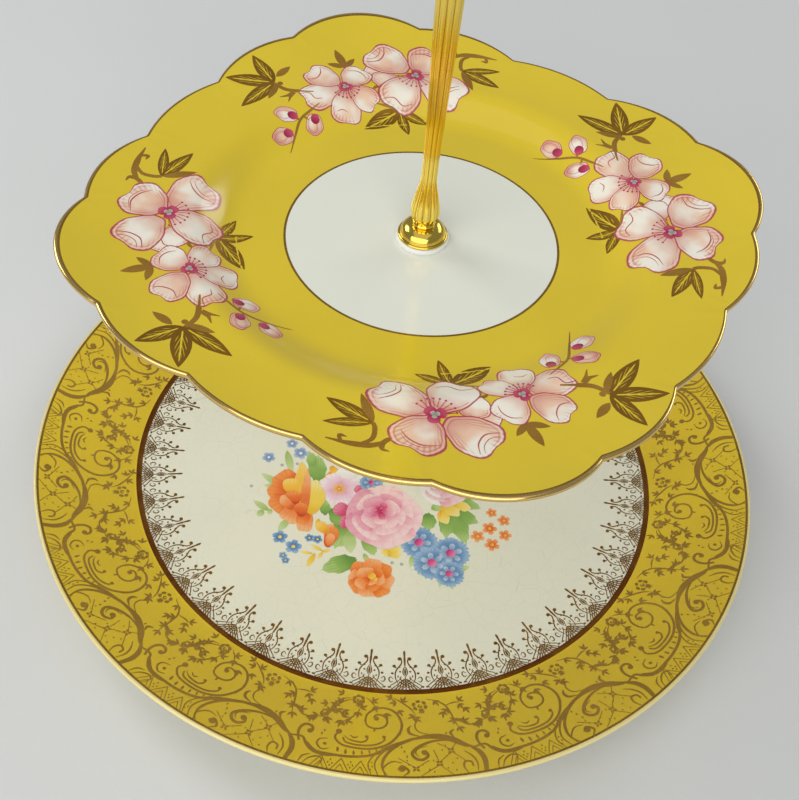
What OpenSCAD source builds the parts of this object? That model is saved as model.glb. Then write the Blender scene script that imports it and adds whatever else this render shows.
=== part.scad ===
// Two-tier cake stand: a round dinner plate below, a smaller scalloped square
// plate above, held on a slim fluted metal column with a ring handle on top.
// Units are millimetres, +Z is up, and the origin is on the table at the
// centre of the lower plate's foot ring. The upper plate's sides face X and Y.

/* [Lower plate] */
// Radius of the lower plate's rim
lower_rim_r = 133; // [120:0.5:145]
// Height of the lower plate's rim above the table
lower_rim_z = 22.4; // [18:0.2:28]
// Radius where the flat of the lower plate turns up into the rim
lower_band_r = 98; // [90:0.5:105]
// Height of the lower plate's eating surface above the table
lower_well_z = 9.8; // [8:0.1:12]
// Thickness of the lower plate in the middle
lower_thick = 3.8; // [3:0.1:6]
// Outer radius of the lower plate's foot ring
lower_foot_r = 84.5; // [70:0.5:95]

/* [Upper plate] */
// Height of the upper plate's eating surface above the table
upper_well_z = 125.4; // [110:0.1:140]
// Thickness of the upper plate in the middle
upper_thick = 3.8; // [3:0.1:6]
// Distance from the axis to the two shallow notches in the middle of a side
notch_in_n = 93.9; // [85:0.1:100]
// Half the distance between those two notches
notch_in_t = 18.9; // [14:0.1:24]
// Distance from the axis to the notch beside a corner, square to the side
notch_out_n = 88.3; // [80:0.1:95]
// Distance of that notch from the middle of the side
notch_out_t = 55.3; // [48:0.1:62]
// How far the middle lobe of a side stands out
lobe_mid = 3.5; // [2:0.1:6]
// How far the lobes next to it stand out
lobe_side = 4.6; // [2:0.1:8]
// How far a corner lobe stands out
lobe_corner = 10; // [6:0.1:14]
// Radius where the upper plate's flat starts to rise
upper_flat_r = 57; // [50:0.5:65]
// Radius where the rise meets the broad rim
upper_rim_in_r = 75; // [68:0.5:82]
// Height of the rim's inner edge above the flat
upper_rise = 6.1; // [4:0.1:9]
// Outer radius of the upper plate's foot ring
upper_foot_r = 53; // [45:0.5:60]

/* [Plate holes] */
// Radius of the hole drilled through each plate
plate_hole_r = 4.2; // [3:0.1:6]

/* [Washers] */
// Radius of the nylon washers' flanges
seal_r = 8.4; // [7:0.1:10]
// Thickness of the nylon washers' flanges
seal_t = 1.6; // [0.8:0.1:2.4]
// Length of the short sleeve that centres a nylon washer in its hole
seal_sleeve = 1.5; // [1:0.1:1.8]
// Radius of the domed metal cup washers
cup_r = 7.9; // [6:0.1:10]
// Thickness of a cup washer's edge
cup_edge = 0.9; // [0.5:0.1:1.5]
// Height of a cup washer
cup_h = 4.3; // [3:0.1:6]
// Radius of the small neck rings
neck_r = 3.5; // [3:0.1:4.5]
// Height of the neck rings
neck_h = 1.3; // [1:0.1:2]

/* [Fixings] */
// Radius of the base screw and of the studs
screw_r = 2; // [1.5:0.1:2.5]
// Running clearance round the screw and the studs
run_gap = 0.05; // [0.02:0.01:0.1]
// Radius of the base screw's head
head_r = 3.6; // [3:0.1:4.5]
// Height of the base screw's head
head_h = 1.7; // [1.2:0.1:2.5]
// How far the screw and the studs reach into a stem
reach = 10; // [8:0.5:12]

/* [Stems] */
// Number of flutes round a stem
flutes = 10; // [8:1:14]
// Depth of the flutes as a share of the radius
flute_depth = 0.13; // [0.05:0.01:0.2]
// Radius of the bulb at a stem's foot
bulb_r = 4.6; // [4:0.1:5.5]
// Radius of a stem at its waist
waist_r = 2.45; // [2.2:0.05:3]
// Radius of a stem where it swells
swell_r = 4.05; // [3.4:0.05:5]
// Length of the upper stem
handle_len = 115; // [95:1:130]
// Points along each flute of a stem
stem_steps = 24; // [12:1:40]

/* [Ring handle] */
// Radius of the ring handle to the middle of its wire
ring_r = 15; // [12:0.5:20]
// Radius of the ring handle's wire
wire_r = 1.7; // [1.2:0.1:2.5]

/* [Hidden] */
$fn = 64;
gold = [0.86, 0.68, 0.26];
nylon = [0.95, 0.95, 0.93];
steel = [0.72, 0.73, 0.75];
cream = [0.93, 0.91, 0.80];
lemon = [0.86, 0.77, 0.27];
bore_r = screw_r + run_gap;
lower_under = lower_well_z - lower_thick;
upper_under = upper_well_z - upper_thick;
// the column's stack on the lower plate
lc_z = lower_well_z + seal_t;
ln_z = lc_z + cup_h;
ls_z = ln_z + neck_h;
// the stack under the upper plate, counted down
sc_z = upper_under - seal_t;
sn_z = sc_z - cup_h;
ls_top = sn_z - neck_h;
// the stack on the upper plate
uc_z = upper_well_z + seal_t;
un_z = uc_z + cup_h;
us_z = un_z + neck_h;
us_top = us_z + handle_len;
// the underside of the lower plate, counted down
bw_z = lower_under - seal_t * 0.6;
washer_t = 0.8;
spring_t = 0.8;
bs_z = bw_z - washer_t;
bh_z = bs_z - spring_t;
spigot_r = 2.5;

// easing between two values
function ease(a, b, t) = a + (b - a) * (1 - cos(180 * min(1, max(0, t)))) / 2;

// radius of a stem at height h above its foot, for a stem of length len
function stem_r(h, len) =
    let (hb = 3.2, hw = 18, hs = len * 0.78)
    h < hb ? ease(3.5, bulb_r, h / hb)
    : h < hw ? ease(bulb_r, waist_r, (h - hb) / (hw - hb))
    : h < hs ? ease(waist_r, swell_r, (h - hw) / (hs - hw))
    : ease(swell_r, 2.75, (h - hs) / (len - hs));

// how strongly the flutes are cut at height h: they fade out at both ends
function flute_k(h, len) = ease(0, 1, h / 2) * ease(0, 1, (len - h) / 2);

// heights of the rings of points up a stem, closer together over the bulb
function stem_h(i, n, len) =
    let (t = i / n) t < 0.45 ? 20 * t / 0.45 : 20 + (len - 20) * (t - 0.45) / 0.55;

// a fluted stem standing on z = 0
module stem_body(len) {
    m = flutes * 6;
    n = stem_steps;
    pts = [for (i = [0:n]) let (h = stem_h(i, n, len), r = stem_r(h, len), k = flute_k(h, len))
           for (j = [0:m - 1]) let (a = 360 * j / m, f = abs(sin(flutes * a / 2)),
               q = r * (1 - flute_depth * k * (1 - f)))
           [q * cos(a), q * sin(a), h]];
    sides = [for (i = [0:n - 1]) for (j = [0:m - 1])
             let (a = i * m + j, b = i * m + (j + 1) % m, c = (i + 1) * m + (j + 1) % m, d = (i + 1) * m + j)
             each [[a, c, b], [a, d, c]]];
    bottom = [[for (j = [0:m - 1]) j]];
    top = [[for (j = [m - 1:-1:0]) n * m + j]];
    polyhedron(points = pts, faces = concat(sides, bottom, top), convexity = 6);
}

// a plain ring between two radii
module washer(r_out, r_in, z, t) {
    translate([0, 0, z]) difference() {
        cylinder(r = r_out, h = t);
        translate([0, 0, -1]) cylinder(r = r_in, h = t + 2);
    }
}

// a nylon washer whose flange lies on z = 0 and whose sleeve goes down
module seal(t) {
    difference() {
        union() {
            cylinder(r = seal_r, h = t);
            translate([0, 0, -seal_sleeve]) cylinder(r = plate_hole_r - 0.02, h = seal_sleeve + 0.1);
        }
        translate([0, 0, -seal_sleeve - 1]) cylinder(r = bore_r, h = t + seal_sleeve + 2);
    }
}

// a domed cup washer standing on z = 0
module cup(hole) {
    top_r = neck_r - 0.3;
    rise = cup_h - cup_edge;
    rotate_extrude() polygon(concat(
        [[hole, 0], [cup_r, 0], [cup_r, cup_edge * 0.75], [cup_r - 0.35, cup_edge]],
        [for (a = [10:10:80]) [top_r + (cup_r - 0.7 - top_r) * cos(a), cup_edge + rise * sin(a)]],
        [[top_r, cup_h], [hole, cup_h]]));
}

// a small rounded ring on z = 0
module neck(hole) {
    difference() {
        rotate_extrude() union() {
            square([neck_r - neck_h / 2, neck_h]);
            translate([neck_r - neck_h / 2, neck_h / 2]) circle(r = neck_h / 2);
        }
        translate([0, 0, -1]) cylinder(r = hole, h = neck_h + 2);
    }
}

// the lower plate's section
module lower_section() {
    b = lower_band_r;
    w = lower_well_z;
    u = lower_under;
    f = lower_foot_r;
    dr = lower_rim_r - b;
    dz = lower_rim_z - w;
    polygon([[0, w], [b - 12, w], [b - 5, w + 0.5], [b, w + 1.5], [b + 5, w + 3.0],
             [b + 0.36 * dr, w + 0.42 * dz], [b + 0.72 * dr, w + 0.74 * dz],
             [lower_rim_r - 2.2, w + 0.95 * dz], [lower_rim_r - 1.1, lower_rim_z],
             [lower_rim_r - 0.3, lower_rim_z - 0.2], [lower_rim_r, lower_rim_z - 0.9],
             [lower_rim_r - 0.6, lower_rim_z - 1.7],
             [b + 0.72 * dr, w + 0.74 * dz - 3.4], [b + 0.36 * dr, w + 0.42 * dz - 3.7],
             [b + 2, u + 1.4], [b - 4, u + 0.1], [f + 2.4, u - 0.7], [f, 0.5], [f - 0.6, 0],
             [f - 2.6, 0], [f - 3.2, 0.5], [f - 5, u - 0.5], [f - 9, u], [0, u]]);
}

// the upper plate's section, carried out past its corners
module upper_section() {
    w = upper_well_z;
    u = upper_under;
    f = upper_foot_r;
    a = upper_flat_r;
    b = upper_rim_in_r;
    polygon(concat(
        [[0, w]],
        [for (i = [0:6]) [a + (b - a) * i / 6, w + ease(0, upper_rise, i / 6)]],
        [[96, w + 7.9], [105, w + 9.4], [113, w + 11.6], [113, w + 8.8],
         [105, w + 6.3], [96, w + 4.5], [b + 2, w + 2.6]],
        [for (i = [5:-1:0]) [a + (b - a) * i / 6 + 2, u + ease(0, upper_rise, i / 6)]],
        [[f + 2, u - 0.4], [f, -2.0 + u], [f - 0.6, -2.4 + u], [f - 2.4, -2.4 + u],
         [f - 3, -2 + u], [f - 5, u - 0.2], [f - 8, u], [0, u]]));
}

// a circle through two points that stands out by s beyond their chord
module lobe(p, q, s) {
    c = (p + q) / 2;
    d = q - p;
    l = norm(d);
    out = [d[1], -d[0]] / l;
    r = (l * l / 4 + s * s) / (2 * s);
    translate(c + out * (s - r)) circle(r = r, $fn = 180);
}

// the scalloped outline: four corner lobes and three lobes on each side
module outline() {
    circle(r = 88, $fn = 180);
    for (k = [0:3]) rotate(90 * k) {
        lobe([notch_in_n, -notch_in_t], [notch_in_n, notch_in_t], lobe_mid);
        lobe([notch_in_n, notch_in_t], [notch_out_n, notch_out_t], lobe_side);
        lobe([notch_out_n, -notch_out_t], [notch_in_n, -notch_in_t], lobe_side);
        lobe([notch_out_n, notch_out_t], [notch_out_t, notch_out_n], lobe_corner);
    }
}

module base_screw() {
    color(steel) difference() {
        union() {
            translate([0, 0, bh_z - head_h]) cylinder(r = head_r, h = head_h);
            translate([0, 0, bh_z - 0.01]) cylinder(r = screw_r, h = ls_z + reach - bh_z + 0.01);
        }
        translate([-head_r - 1, -0.5, bh_z - head_h - 1]) cube([2 * head_r + 2, 1, 1.8]);
    }
}

module base_spring_washer() {
    color(steel) difference() {
        washer(3.5, 2.1, bs_z - spring_t, spring_t);
        translate([0, -0.25, bs_z - spring_t - 1]) cube([5, 0.5, spring_t + 2]);
    }
}

module base_washer() {
    color(gold) washer(7.5, 2.15, bs_z, washer_t);
}

module base_seal() {
    color(nylon) translate([0, 0, lower_under]) mirror([0, 0, 1]) seal(seal_t * 0.6);
}

module lower_plate() {
    color(cream) difference() {
        rotate_extrude($fn = 180) lower_section();
        translate([0, 0, lower_under - 1]) cylinder(r = plate_hole_r, h = lower_thick + 2);
    }
}

module lower_seal() {
    color(nylon) translate([0, 0, lower_well_z]) seal(seal_t);
}

module lower_cup() {
    color(gold) translate([0, 0, lc_z]) cup(screw_r + 0.3);
}

module lower_neck() {
    color(gold) translate([0, 0, ln_z]) neck(screw_r + 0.3);
}

module lower_stem() {
    len = ls_top - ls_z;
    color(gold) translate([0, 0, ls_z]) difference() {
        stem_body(len);
        translate([0, 0, -1]) cylinder(r = bore_r, h = reach + 1.8);
        translate([0, 0, len - reach]) cylinder(r = bore_r, h = reach + 1);
    }
}

module support_neck() {
    color(gold) translate([0, 0, ls_top]) neck(screw_r + 0.3);
}

module support_cup() {
    color(gold) translate([0, 0, sc_z]) mirror([0, 0, 1]) cup(screw_r + 0.3);
}

module support_seal() {
    color(nylon) translate([0, 0, upper_under]) mirror([0, 0, 1]) seal(seal_t);
}

module upper_plate() {
    color(lemon) difference() {
        intersection() {
            rotate_extrude($fn = 180) upper_section();
            translate([0, 0, upper_under - 4]) linear_extrude(height = 30) outline();
        }
        translate([0, 0, upper_under - 1]) cylinder(r = plate_hole_r, h = upper_thick + 2);
    }
}

module upper_seal() {
    color(nylon) translate([0, 0, upper_well_z]) seal(seal_t);
}

module upper_cup() {
    color(gold) translate([0, 0, uc_z]) cup(screw_r + 0.3);
}

module tier_stud() {
    color(steel) translate([0, 0, ls_top - reach + 0.5])
        cylinder(r = screw_r, h = us_z + reach - (ls_top - reach + 0.5));
}

module upper_neck() {
    color(gold) translate([0, 0, un_z]) neck(spigot_r + run_gap);
}

module upper_stem() {
    color(gold) difference() {
        union() {
            translate([0, 0, us_z]) stem_body(handle_len);
            translate([0, 0, un_z]) cylinder(r = spigot_r, h = neck_h + 0.2);
        }
        translate([0, 0, un_z - 1]) cylinder(r = bore_r, h = neck_h + reach + 1.8);
        translate([0, 0, us_top - 7]) cylinder(r = 1.55, h = 8);
    }
}

module handle_collar() {
    color(gold) translate([0, 0, us_top]) difference() {
        rotate_extrude() union() {
            square([2.6, 2.4]);
            translate([2.6, 1.2]) circle(r = 1.2);
        }
        translate([0, 0, -1]) cylinder(r = 1.55, h = 5);
    }
}

module handle_stud() {
    color(steel) translate([0, 0, us_top - 6.5]) cylinder(r = 1.5, h = 6.5 + 8.6);
}

module handle_bead() {
    color(gold) translate([0, 0, us_top + 2.4]) difference() {
        rotate_extrude() intersection() {
            translate([0, 1.6]) circle(r = 2.9);
            square([4, 3.2]);
        }
        translate([0, 0, -1]) cylinder(r = 1.55, h = 6);
    }
}

module ring_seat() {
    color(gold) translate([0, 0, us_top + 5.6]) difference() {
        union() {
            cylinder(r = 3.3, h = 1.4);
            translate([0, 0, 1.4]) cylinder(r1 = 2.9, r2 = 2.5, h = 4);
        }
        translate([0, 0, -1]) cylinder(r = 1.55, h = 4.2);
        translate([0, 0, 5.4 + ring_r - 0.1]) rotate([90, 0, 0])
            rotate_extrude() translate([ring_r, 0]) circle(r = wire_r);
    }
}

module ring_handle() {
    color(gold) translate([0, 0, us_top + 11 + ring_r - 0.1]) rotate([90, 0, 0])
        rotate_extrude($fn = 96) translate([ring_r, 0]) circle(r = wire_r, $fn = 32);
}

base_screw();
base_spring_washer();
base_washer();
base_seal();
lower_plate();
lower_seal();
lower_cup();
lower_neck();
lower_stem();
support_neck();
support_cup();
support_seal();
upper_plate();
upper_seal();
upper_cup();
tier_stud();
upper_neck();
upper_stem();
handle_collar();
handle_stud();
handle_bead();
ring_seat();
ring_handle();
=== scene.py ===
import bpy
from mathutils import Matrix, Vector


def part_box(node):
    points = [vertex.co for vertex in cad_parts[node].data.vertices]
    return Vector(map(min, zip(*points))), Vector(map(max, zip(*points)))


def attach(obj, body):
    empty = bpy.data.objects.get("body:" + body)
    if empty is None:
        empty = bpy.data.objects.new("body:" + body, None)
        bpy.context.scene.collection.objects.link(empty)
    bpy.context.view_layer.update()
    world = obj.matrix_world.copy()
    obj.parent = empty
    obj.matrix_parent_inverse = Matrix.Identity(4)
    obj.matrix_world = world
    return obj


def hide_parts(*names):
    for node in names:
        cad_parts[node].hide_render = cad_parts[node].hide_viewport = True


bl_info = {
    "name": "Tiered cake stand",
    "version": (1, 0, 0),
    "blender": (4, 5, 0),
    "location": "View3D > Sidebar > Cake stand",
    "description": "Builds a cake stand of two painted plates on a fluted gold column",
    "category": "Object",
}

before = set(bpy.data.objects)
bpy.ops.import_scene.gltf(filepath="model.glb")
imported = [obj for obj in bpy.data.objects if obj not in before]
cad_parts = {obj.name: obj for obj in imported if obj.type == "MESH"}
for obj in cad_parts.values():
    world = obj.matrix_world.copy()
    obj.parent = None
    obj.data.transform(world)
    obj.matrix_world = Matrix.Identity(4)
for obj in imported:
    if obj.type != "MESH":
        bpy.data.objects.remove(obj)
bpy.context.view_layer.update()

import math
import bmesh
import bpy
from bpy.props import FloatProperty, FloatVectorProperty, IntProperty, PointerProperty
from mathutils import Matrix, Vector

MM = 0.001


def top_of(node):
    """Height in millimetres of a node's highest point."""
    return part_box(node)[1][2] / MM


def foot_of(node):
    """Height in millimetres of a node's lowest point."""
    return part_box(node)[0][2] / MM


LOWER_RIM = round(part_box("lower_plate")[1][0] / MM, 3)
UPPER_WELL = round(foot_of("upper_seal") + 1.5, 3)


# ---------------------------------------------------------------- settings

class StandSizes(bpy.types.PropertyGroup):
    upper_centre: FloatProperty(
        name="White centre", description="Radius of the upper plate's white centre",
        default=0.0427, min=0.02, max=0.055, unit="LENGTH")
    lower_centre: FloatProperty(
        name="Cream centre", description="Radius of the lower plate's cream centre, to the gilt band",
        default=0.0955, min=0.06, max=0.11, unit="LENGTH")
    gilt_band: FloatProperty(
        name="Gilt band", description="Width of the gilt band round the lower plate's centre",
        default=0.002, min=0.001, max=0.006, unit="LENGTH")
    flutes: IntProperty(
        name="Flutes", description="Number of flutes round a stem", default=10, min=6, max=16)
    flute_depth: FloatProperty(
        name="Flute depth", description="Depth of the flutes as a share of the stem's radius",
        default=0.13, min=0.0, max=0.3, subtype="FACTOR")
    scroll_repeats: IntProperty(
        name="Scroll repeats", description="How often the gilt scrolls repeat round the lower rim",
        default=13, min=8, max=18)
    palmettes: IntProperty(
        name="Palmettes", description="How many gilt palmettes stand round the cream centre",
        default=46, min=24, max=60)


class StandColours(bpy.types.PropertyGroup):
    lemon: FloatVectorProperty(
        name="Lemon glaze", description="Glaze of the upper plate's rim", subtype="COLOR",
        size=3, min=0, max=1, default=(0.735, 0.55, 0.026))
    mustard: FloatVectorProperty(
        name="Mustard glaze", description="Glaze of the lower plate's rim", subtype="COLOR",
        size=3, min=0, max=1, default=(0.72, 0.51, 0.020))
    cream: FloatVectorProperty(
        name="Cream glaze", description="Glaze of the lower plate's centre and back", subtype="COLOR",
        size=3, min=0, max=1, default=(0.79, 0.775, 0.62))
    white: FloatVectorProperty(
        name="White glaze", description="Glaze of the upper plate's centre and back", subtype="COLOR",
        size=3, min=0, max=1, default=(0.79, 0.81, 0.70))
    gilding: FloatVectorProperty(
        name="Gilding", description="Burnt gold of the printed scrolls and thin lines", subtype="COLOR",
        size=3, min=0, max=1, default=(0.36, 0.205, 0.030))
    bright_gold: FloatVectorProperty(
        name="Bright gold", description="Gold of the stems, cups, beads and ring", subtype="COLOR",
        size=3, min=0, max=1, default=(0.95, 0.70, 0.125))


class StageSettings(bpy.types.PropertyGroup):
    azimuth: FloatProperty(
        name="Azimuth", description="Direction from the stand to the camera", subtype="ANGLE",
        default=math.radians(-63.125))
    elevation: FloatProperty(
        name="Elevation", description="Height of the camera above the table, as an angle",
        subtype="ANGLE", default=math.radians(48.51))
    distance: FloatProperty(
        name="Distance", description="Distance from the camera to the point it looks at",
        default=0.5166, unit="LENGTH")
    roll: FloatProperty(
        name="Roll", description="Turn of the camera about its own line of sight",
        subtype="ANGLE", default=math.radians(6.486))
    lens: FloatProperty(
        name="Lens", description="Focal length on a 36 mm wide sensor", default=56.57,
        min=20, max=200, unit="CAMERA")
    aim_x: FloatProperty(name="Aim X", description="Where on the table the camera looks, along X",
                         default=-0.0202, unit="LENGTH")
    aim_y: FloatProperty(name="Aim Y", description="Where on the table the camera looks, along Y",
                         default=0.0370, unit="LENGTH")


# ---------------------------------------------------------------- finishes

class Tie:
    """One output socket of a finish, which takes plain sums."""

    def __init__(self, finish, socket):
        self.finish = finish
        self.socket = socket

    def sum(self, kind, a, b):
        return self.finish.node("ShaderNodeMath", {"operation": kind}, {0: a, 1: b})

    def __add__(self, other):
        return self.sum("ADD", self, other)

    def __radd__(self, other):
        return self.sum("ADD", other, self)

    def __sub__(self, other):
        return self.sum("SUBTRACT", self, other)

    def __rsub__(self, other):
        return self.sum("SUBTRACT", other, self)

    def __mul__(self, other):
        return self.sum("MULTIPLY", self, other)

    def __rmul__(self, other):
        return self.sum("MULTIPLY", other, self)

    def __truediv__(self, other):
        return self.sum("DIVIDE", self, other)

    def __pow__(self, other):
        return self.sum("POWER", self, other)

    def __gt__(self, other):
        return self.sum("GREATER_THAN", self, other)

    def __lt__(self, other):
        return self.sum("LESS_THAN", self, other)


class Finish:
    """A procedural material with one Principled shader."""

    def __init__(self, name):
        self.material = bpy.data.materials.new(name)
        self.material.use_nodes = True
        self.tree = self.material.node_tree
        self.tree.nodes.clear()
        self.shader = self.tree.nodes.new("ShaderNodeBsdfPrincipled")
        out = self.tree.nodes.new("ShaderNodeOutputMaterial")
        self.tree.links.new(self.shader.outputs["BSDF"], out.inputs["Surface"])

    def plug(self, socket, value):
        if isinstance(value, Tie):
            self.tree.links.new(value.socket, socket)
        elif hasattr(value, "__len__") and len(value) == 3 and socket.type == "RGBA":
            socket.default_value = (*value, 1.0)
        else:
            socket.default_value = value

    def node(self, kind, settings, sockets, out=0):
        """Add a node: its settings first, then the values or links of its sockets."""
        made = self.tree.nodes.new(kind)
        for key, value in settings.items():
            if key == "stops":
                ramp = made.color_ramp
                while len(ramp.elements) < len(value):
                    ramp.elements.new(0.5)
                for stop, (place, colour) in zip(ramp.elements, value):
                    stop.position = place
                    stop.color = (*colour, 1.0)
            else:
                setattr(made, key, value)
        for key, value in sockets.items():
            self.plug(made.inputs[key], value)
        return Tie(self, made.outputs[out])

    def set(self, **values):
        """Set or link the shader's own sockets, with _ for a space in a name."""
        for key, value in values.items():
            self.plug(self.shader.inputs[key.replace("_", " ")], value)
        return self

    def place(self):
        return self.node("ShaderNodeTexCoord", {}, {}, "Object")

    def uv(self):
        return self.node("ShaderNodeTexCoord", {}, {}, "UV")

    def parts(self, vector):
        made = self.tree.nodes.new("ShaderNodeSeparateXYZ")
        self.plug(made.inputs[0], vector)
        return [Tie(self, out) for out in made.outputs]

    def noise(self, scale, detail=3.0, rough=0.5, vector=None, warp=0.0):
        return self.node("ShaderNodeTexNoise", {}, {
            "Vector": vector or self.place(), "Scale": scale, "Detail": detail,
            "Roughness": rough, "Distortion": warp})

    def band(self, value, low, high):
        """0 below low, 1 above high, smooth between."""
        return self.node("ShaderNodeMapRange", {"interpolation_type": "SMOOTHSTEP"}, {
            "Value": value, "From Min": low, "From Max": high, "To Min": 0.0, "To Max": 1.0})

    def blend(self, amount, a, b):
        return self.node("ShaderNodeMix", {"data_type": "RGBA"}, {0: amount, 6: a, 7: b}, 2)

    def bump(self, height, strength, distance):
        return self.node("ShaderNodeBump", {}, {
            "Height": height, "Strength": strength, "Distance": distance})


def shade(colour, factor):
    """The same colour, lighter or darker."""
    return tuple(min(1.0, c * factor) for c in colour)


def mixed(a, b, t):
    """A colour between two others."""
    return tuple(p + (q - p) * t for p, q in zip(a, b))


def glaze(name, colour, warm, rough=0.11, mottle=0.35, crazed=False):
    """A fired glaze: slightly uneven in colour, glossy, with a faint orange-peel surface."""
    f = Finish(name)
    broad = f.noise(26.0, 3.0)
    fine = f.noise(420.0, 4.0, 0.6)
    tone = f.blend(f.band(broad, 0.3, 0.7) * mottle, colour, warm)
    speck = f.band(f.noise(1500.0, 2.0), 0.66, 0.74)
    tone = f.blend(speck * 0.12, tone, shade(colour, 0.6))
    height = broad * 0.6 + fine * 0.4
    if crazed:
        cracks = f.node("ShaderNodeTexVoronoi", {"feature": "DISTANCE_TO_EDGE"}, {
            "Vector": f.place(), "Scale": 170.0})
        branch = f.node("ShaderNodeTexVoronoi", {"feature": "DISTANCE_TO_EDGE"}, {
            "Vector": f.place(), "Scale": 420.0})
        line = 1.0 - f.band(cracks, 0.0, 0.022)
        twig = (1.0 - f.band(branch, 0.0, 0.03)) * f.band(f.noise(60.0), 0.45, 0.65)
        web = (line * 0.20 + twig * 0.12) * f.band(f.noise(34.0), 0.25, 0.6)
        tone = f.blend(web, tone, shade(colour, 0.55))
        height = height - web * 0.25
    return f.set(Base_Color=tone, Roughness=rough + fine * 0.05, IOR=1.5, Coat_Weight=0.25,
                 Coat_Roughness=0.04, Normal=f.bump(height, 0.10, 0.0004)).material


def gilt(name, colour, rough=0.30, metal=0.75, worn=0.25):
    """Burnt-in gold print: brown where it is thin, bright where it is thick."""
    f = Finish(name)
    patches = f.band(f.noise(75.0, 3.0), 0.35, 0.7)
    grain = f.noise(900.0, 2.0)
    tone = f.blend(patches * 0.45, colour, shade(mixed(colour, (0.75, 0.45, 0.10), 0.30), 1.1))
    tone = f.blend(f.band(grain, 0.45, 0.75) * worn, tone, shade(colour, 0.72))
    return f.set(Base_Color=tone, Metallic=metal, Roughness=rough + grain * 0.08,
                 Normal=f.bump(grain, 0.08, 0.0001)).material


def polished(name, colour, rough=0.07):
    """Lacquered polished metal with faint smears and handling marks."""
    f = Finish(name)
    smear = f.noise(55.0, 4.0, 0.6, warp=0.6)
    dust = f.band(f.noise(1300.0, 2.0), 0.62, 0.75)
    tone = f.blend(f.band(smear, 0.35, 0.75) * 0.4, colour, shade(colour, 0.82))
    return f.set(Base_Color=tone, Metallic=1.0, Roughness=rough + f.band(smear, 0.4,
            0.8) * 0.08 + dust * 0.10,
                 Normal=f.bump(f.noise(1100.0, 2.0), 0.05, 0.0002)).material


def fluted(name, colour, flutes):
    """Polished gold with painted shade: its colour turns dark brown in the grooves between its flutes."""
    f = Finish(name)
    x, y, _ = f.parts(f.place())
    around = f.node("ShaderNodeMath", {"operation": "ARCTAN2"}, {0: y, 1: x})
    crest = f.node("ShaderNodeMath", {"operation": "ABSOLUTE"}, {
        0: f.node("ShaderNodeMath", {"operation": "SINE"}, {0: around * (flutes / 2)})})
    # mask of the grooves between the flutes, used for the painted shade below and for a rougher finish
    shaded_groove = 1.0 - f.band(crest + f.noise(120.0) * 0.12, 0.14, 0.46)
    smear = f.noise(60.0, 4.0, 0.6)
    tone = f.blend(f.band(smear, 0.35, 0.75) * 0.35, colour, shade(colour, 0.8))
    # painted shade: the grooves are coloured dark brown
    tone = f.blend(shaded_groove * 0.55, tone, (0.36, 0.19, 0.012))
    return f.set(Base_Color=tone, Metallic=1.0, Roughness=0.09 + shaded_groove * 0.12 + f.band(smear, 0.4,
            0.8) * 0.06,
                 Normal=f.bump(f.noise(300.0), 0.03, 0.0002)).material


def painted(name, heart, middle, edge, rough=0.16, streaks=16.0, streak=0.35):
    """Enamel brushed outwards on a petal or leaf: dark at the heart, light at the edge."""
    f = Finish(name)
    u, v, _ = f.parts(f.uv())
    along = u
    side = v - 0.5
    fan = f.node("ShaderNodeMath", {"operation": "ARCTAN2"}, {0: side, 1: along + 0.12})
    lines = f.node("ShaderNodeMath", {"operation": "SINE"}, {0: fan * streaks * 2.0 + f.noise(260.0) * 5.0})
    drift = f.noise(150.0, 3.0)
    reach = along + (drift - 0.5) * 0.7
    tone = f.blend(f.band(reach, 0.05, 0.5), heart, middle)
    tone = f.blend(f.band(reach, 0.45, 0.95), tone, edge)
    tone = f.blend(f.band(lines, 0.3, 1.0) * streak, tone, mixed(heart, middle, 0.4))
    return f.set(Base_Color=tone, Roughness=rough, IOR=1.5, Coat_Weight=0.25).material


def blossom_paint(name, cream, blush, crimson):
    """A cream petal with a crimson double outline, salmon shading and fine hatching."""
    f = Finish(name)
    u, v, _ = f.parts(f.uv())
    du = (u - 0.5) * 2.0
    dv = (v - 0.5) * 2.0
    out = (du * du + dv * dv) ** 0.5
    fan = f.node("ShaderNodeMath", {"operation": "ARCTAN2"}, {0: v - 0.5, 1: u + 0.25})
    wobble = f.noise(330.0, 3.0)
    hatch = f.node("ShaderNodeMath", {"operation": "SINE"}, {0: fan * 70.0 + wobble * 3.0})
    patch = f.noise(85.0, 2.0)
    rim = f.band(out + (wobble - 0.5) * 0.05 + (patch - 0.5) * 0.05, 0.915, 0.95)
    bare = f.band(out, 0.84, 0.86) * (1.0 - f.band(out, 0.885, 0.905))
    inner = f.band(out, 0.76, 0.79) * (1.0 - f.band(out, 0.825, 0.85))
    heart = 1.0 - f.band(u + (wobble - 0.5) * 0.25, 0.08, 0.55)
    hatching = f.band(hatch, -0.2, 0.7) * f.band(out + (patch - 0.5) * 1.6, 0.55, 0.95) * (1.0 - bare)
    fold = f.band(v + (patch - 0.5) * 0.5, 0.60, 0.85) * f.band(out, 0.3, 0.7)
    tone = f.blend(f.band(patch, 0.44, 0.66) * 0.85, cream, blush)
    tone = f.blend(fold * 0.6, tone, mixed(blush, crimson, 0.12))
    tone = f.blend(heart * 0.75, tone, mixed(blush, crimson, 0.38))
    tone = f.blend(hatching * 0.50, tone, mixed(crimson, blush, 0.30))
    tone = f.blend(inner * f.band(patch, 0.42, 0.6) * 0.6, tone, mixed(crimson, blush, 0.25))
    tone = f.blend(rim * 0.92, tone, crimson)
    return f.set(Base_Color=tone, Roughness=0.15, IOR=1.5, Coat_Weight=0.25).material


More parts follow.
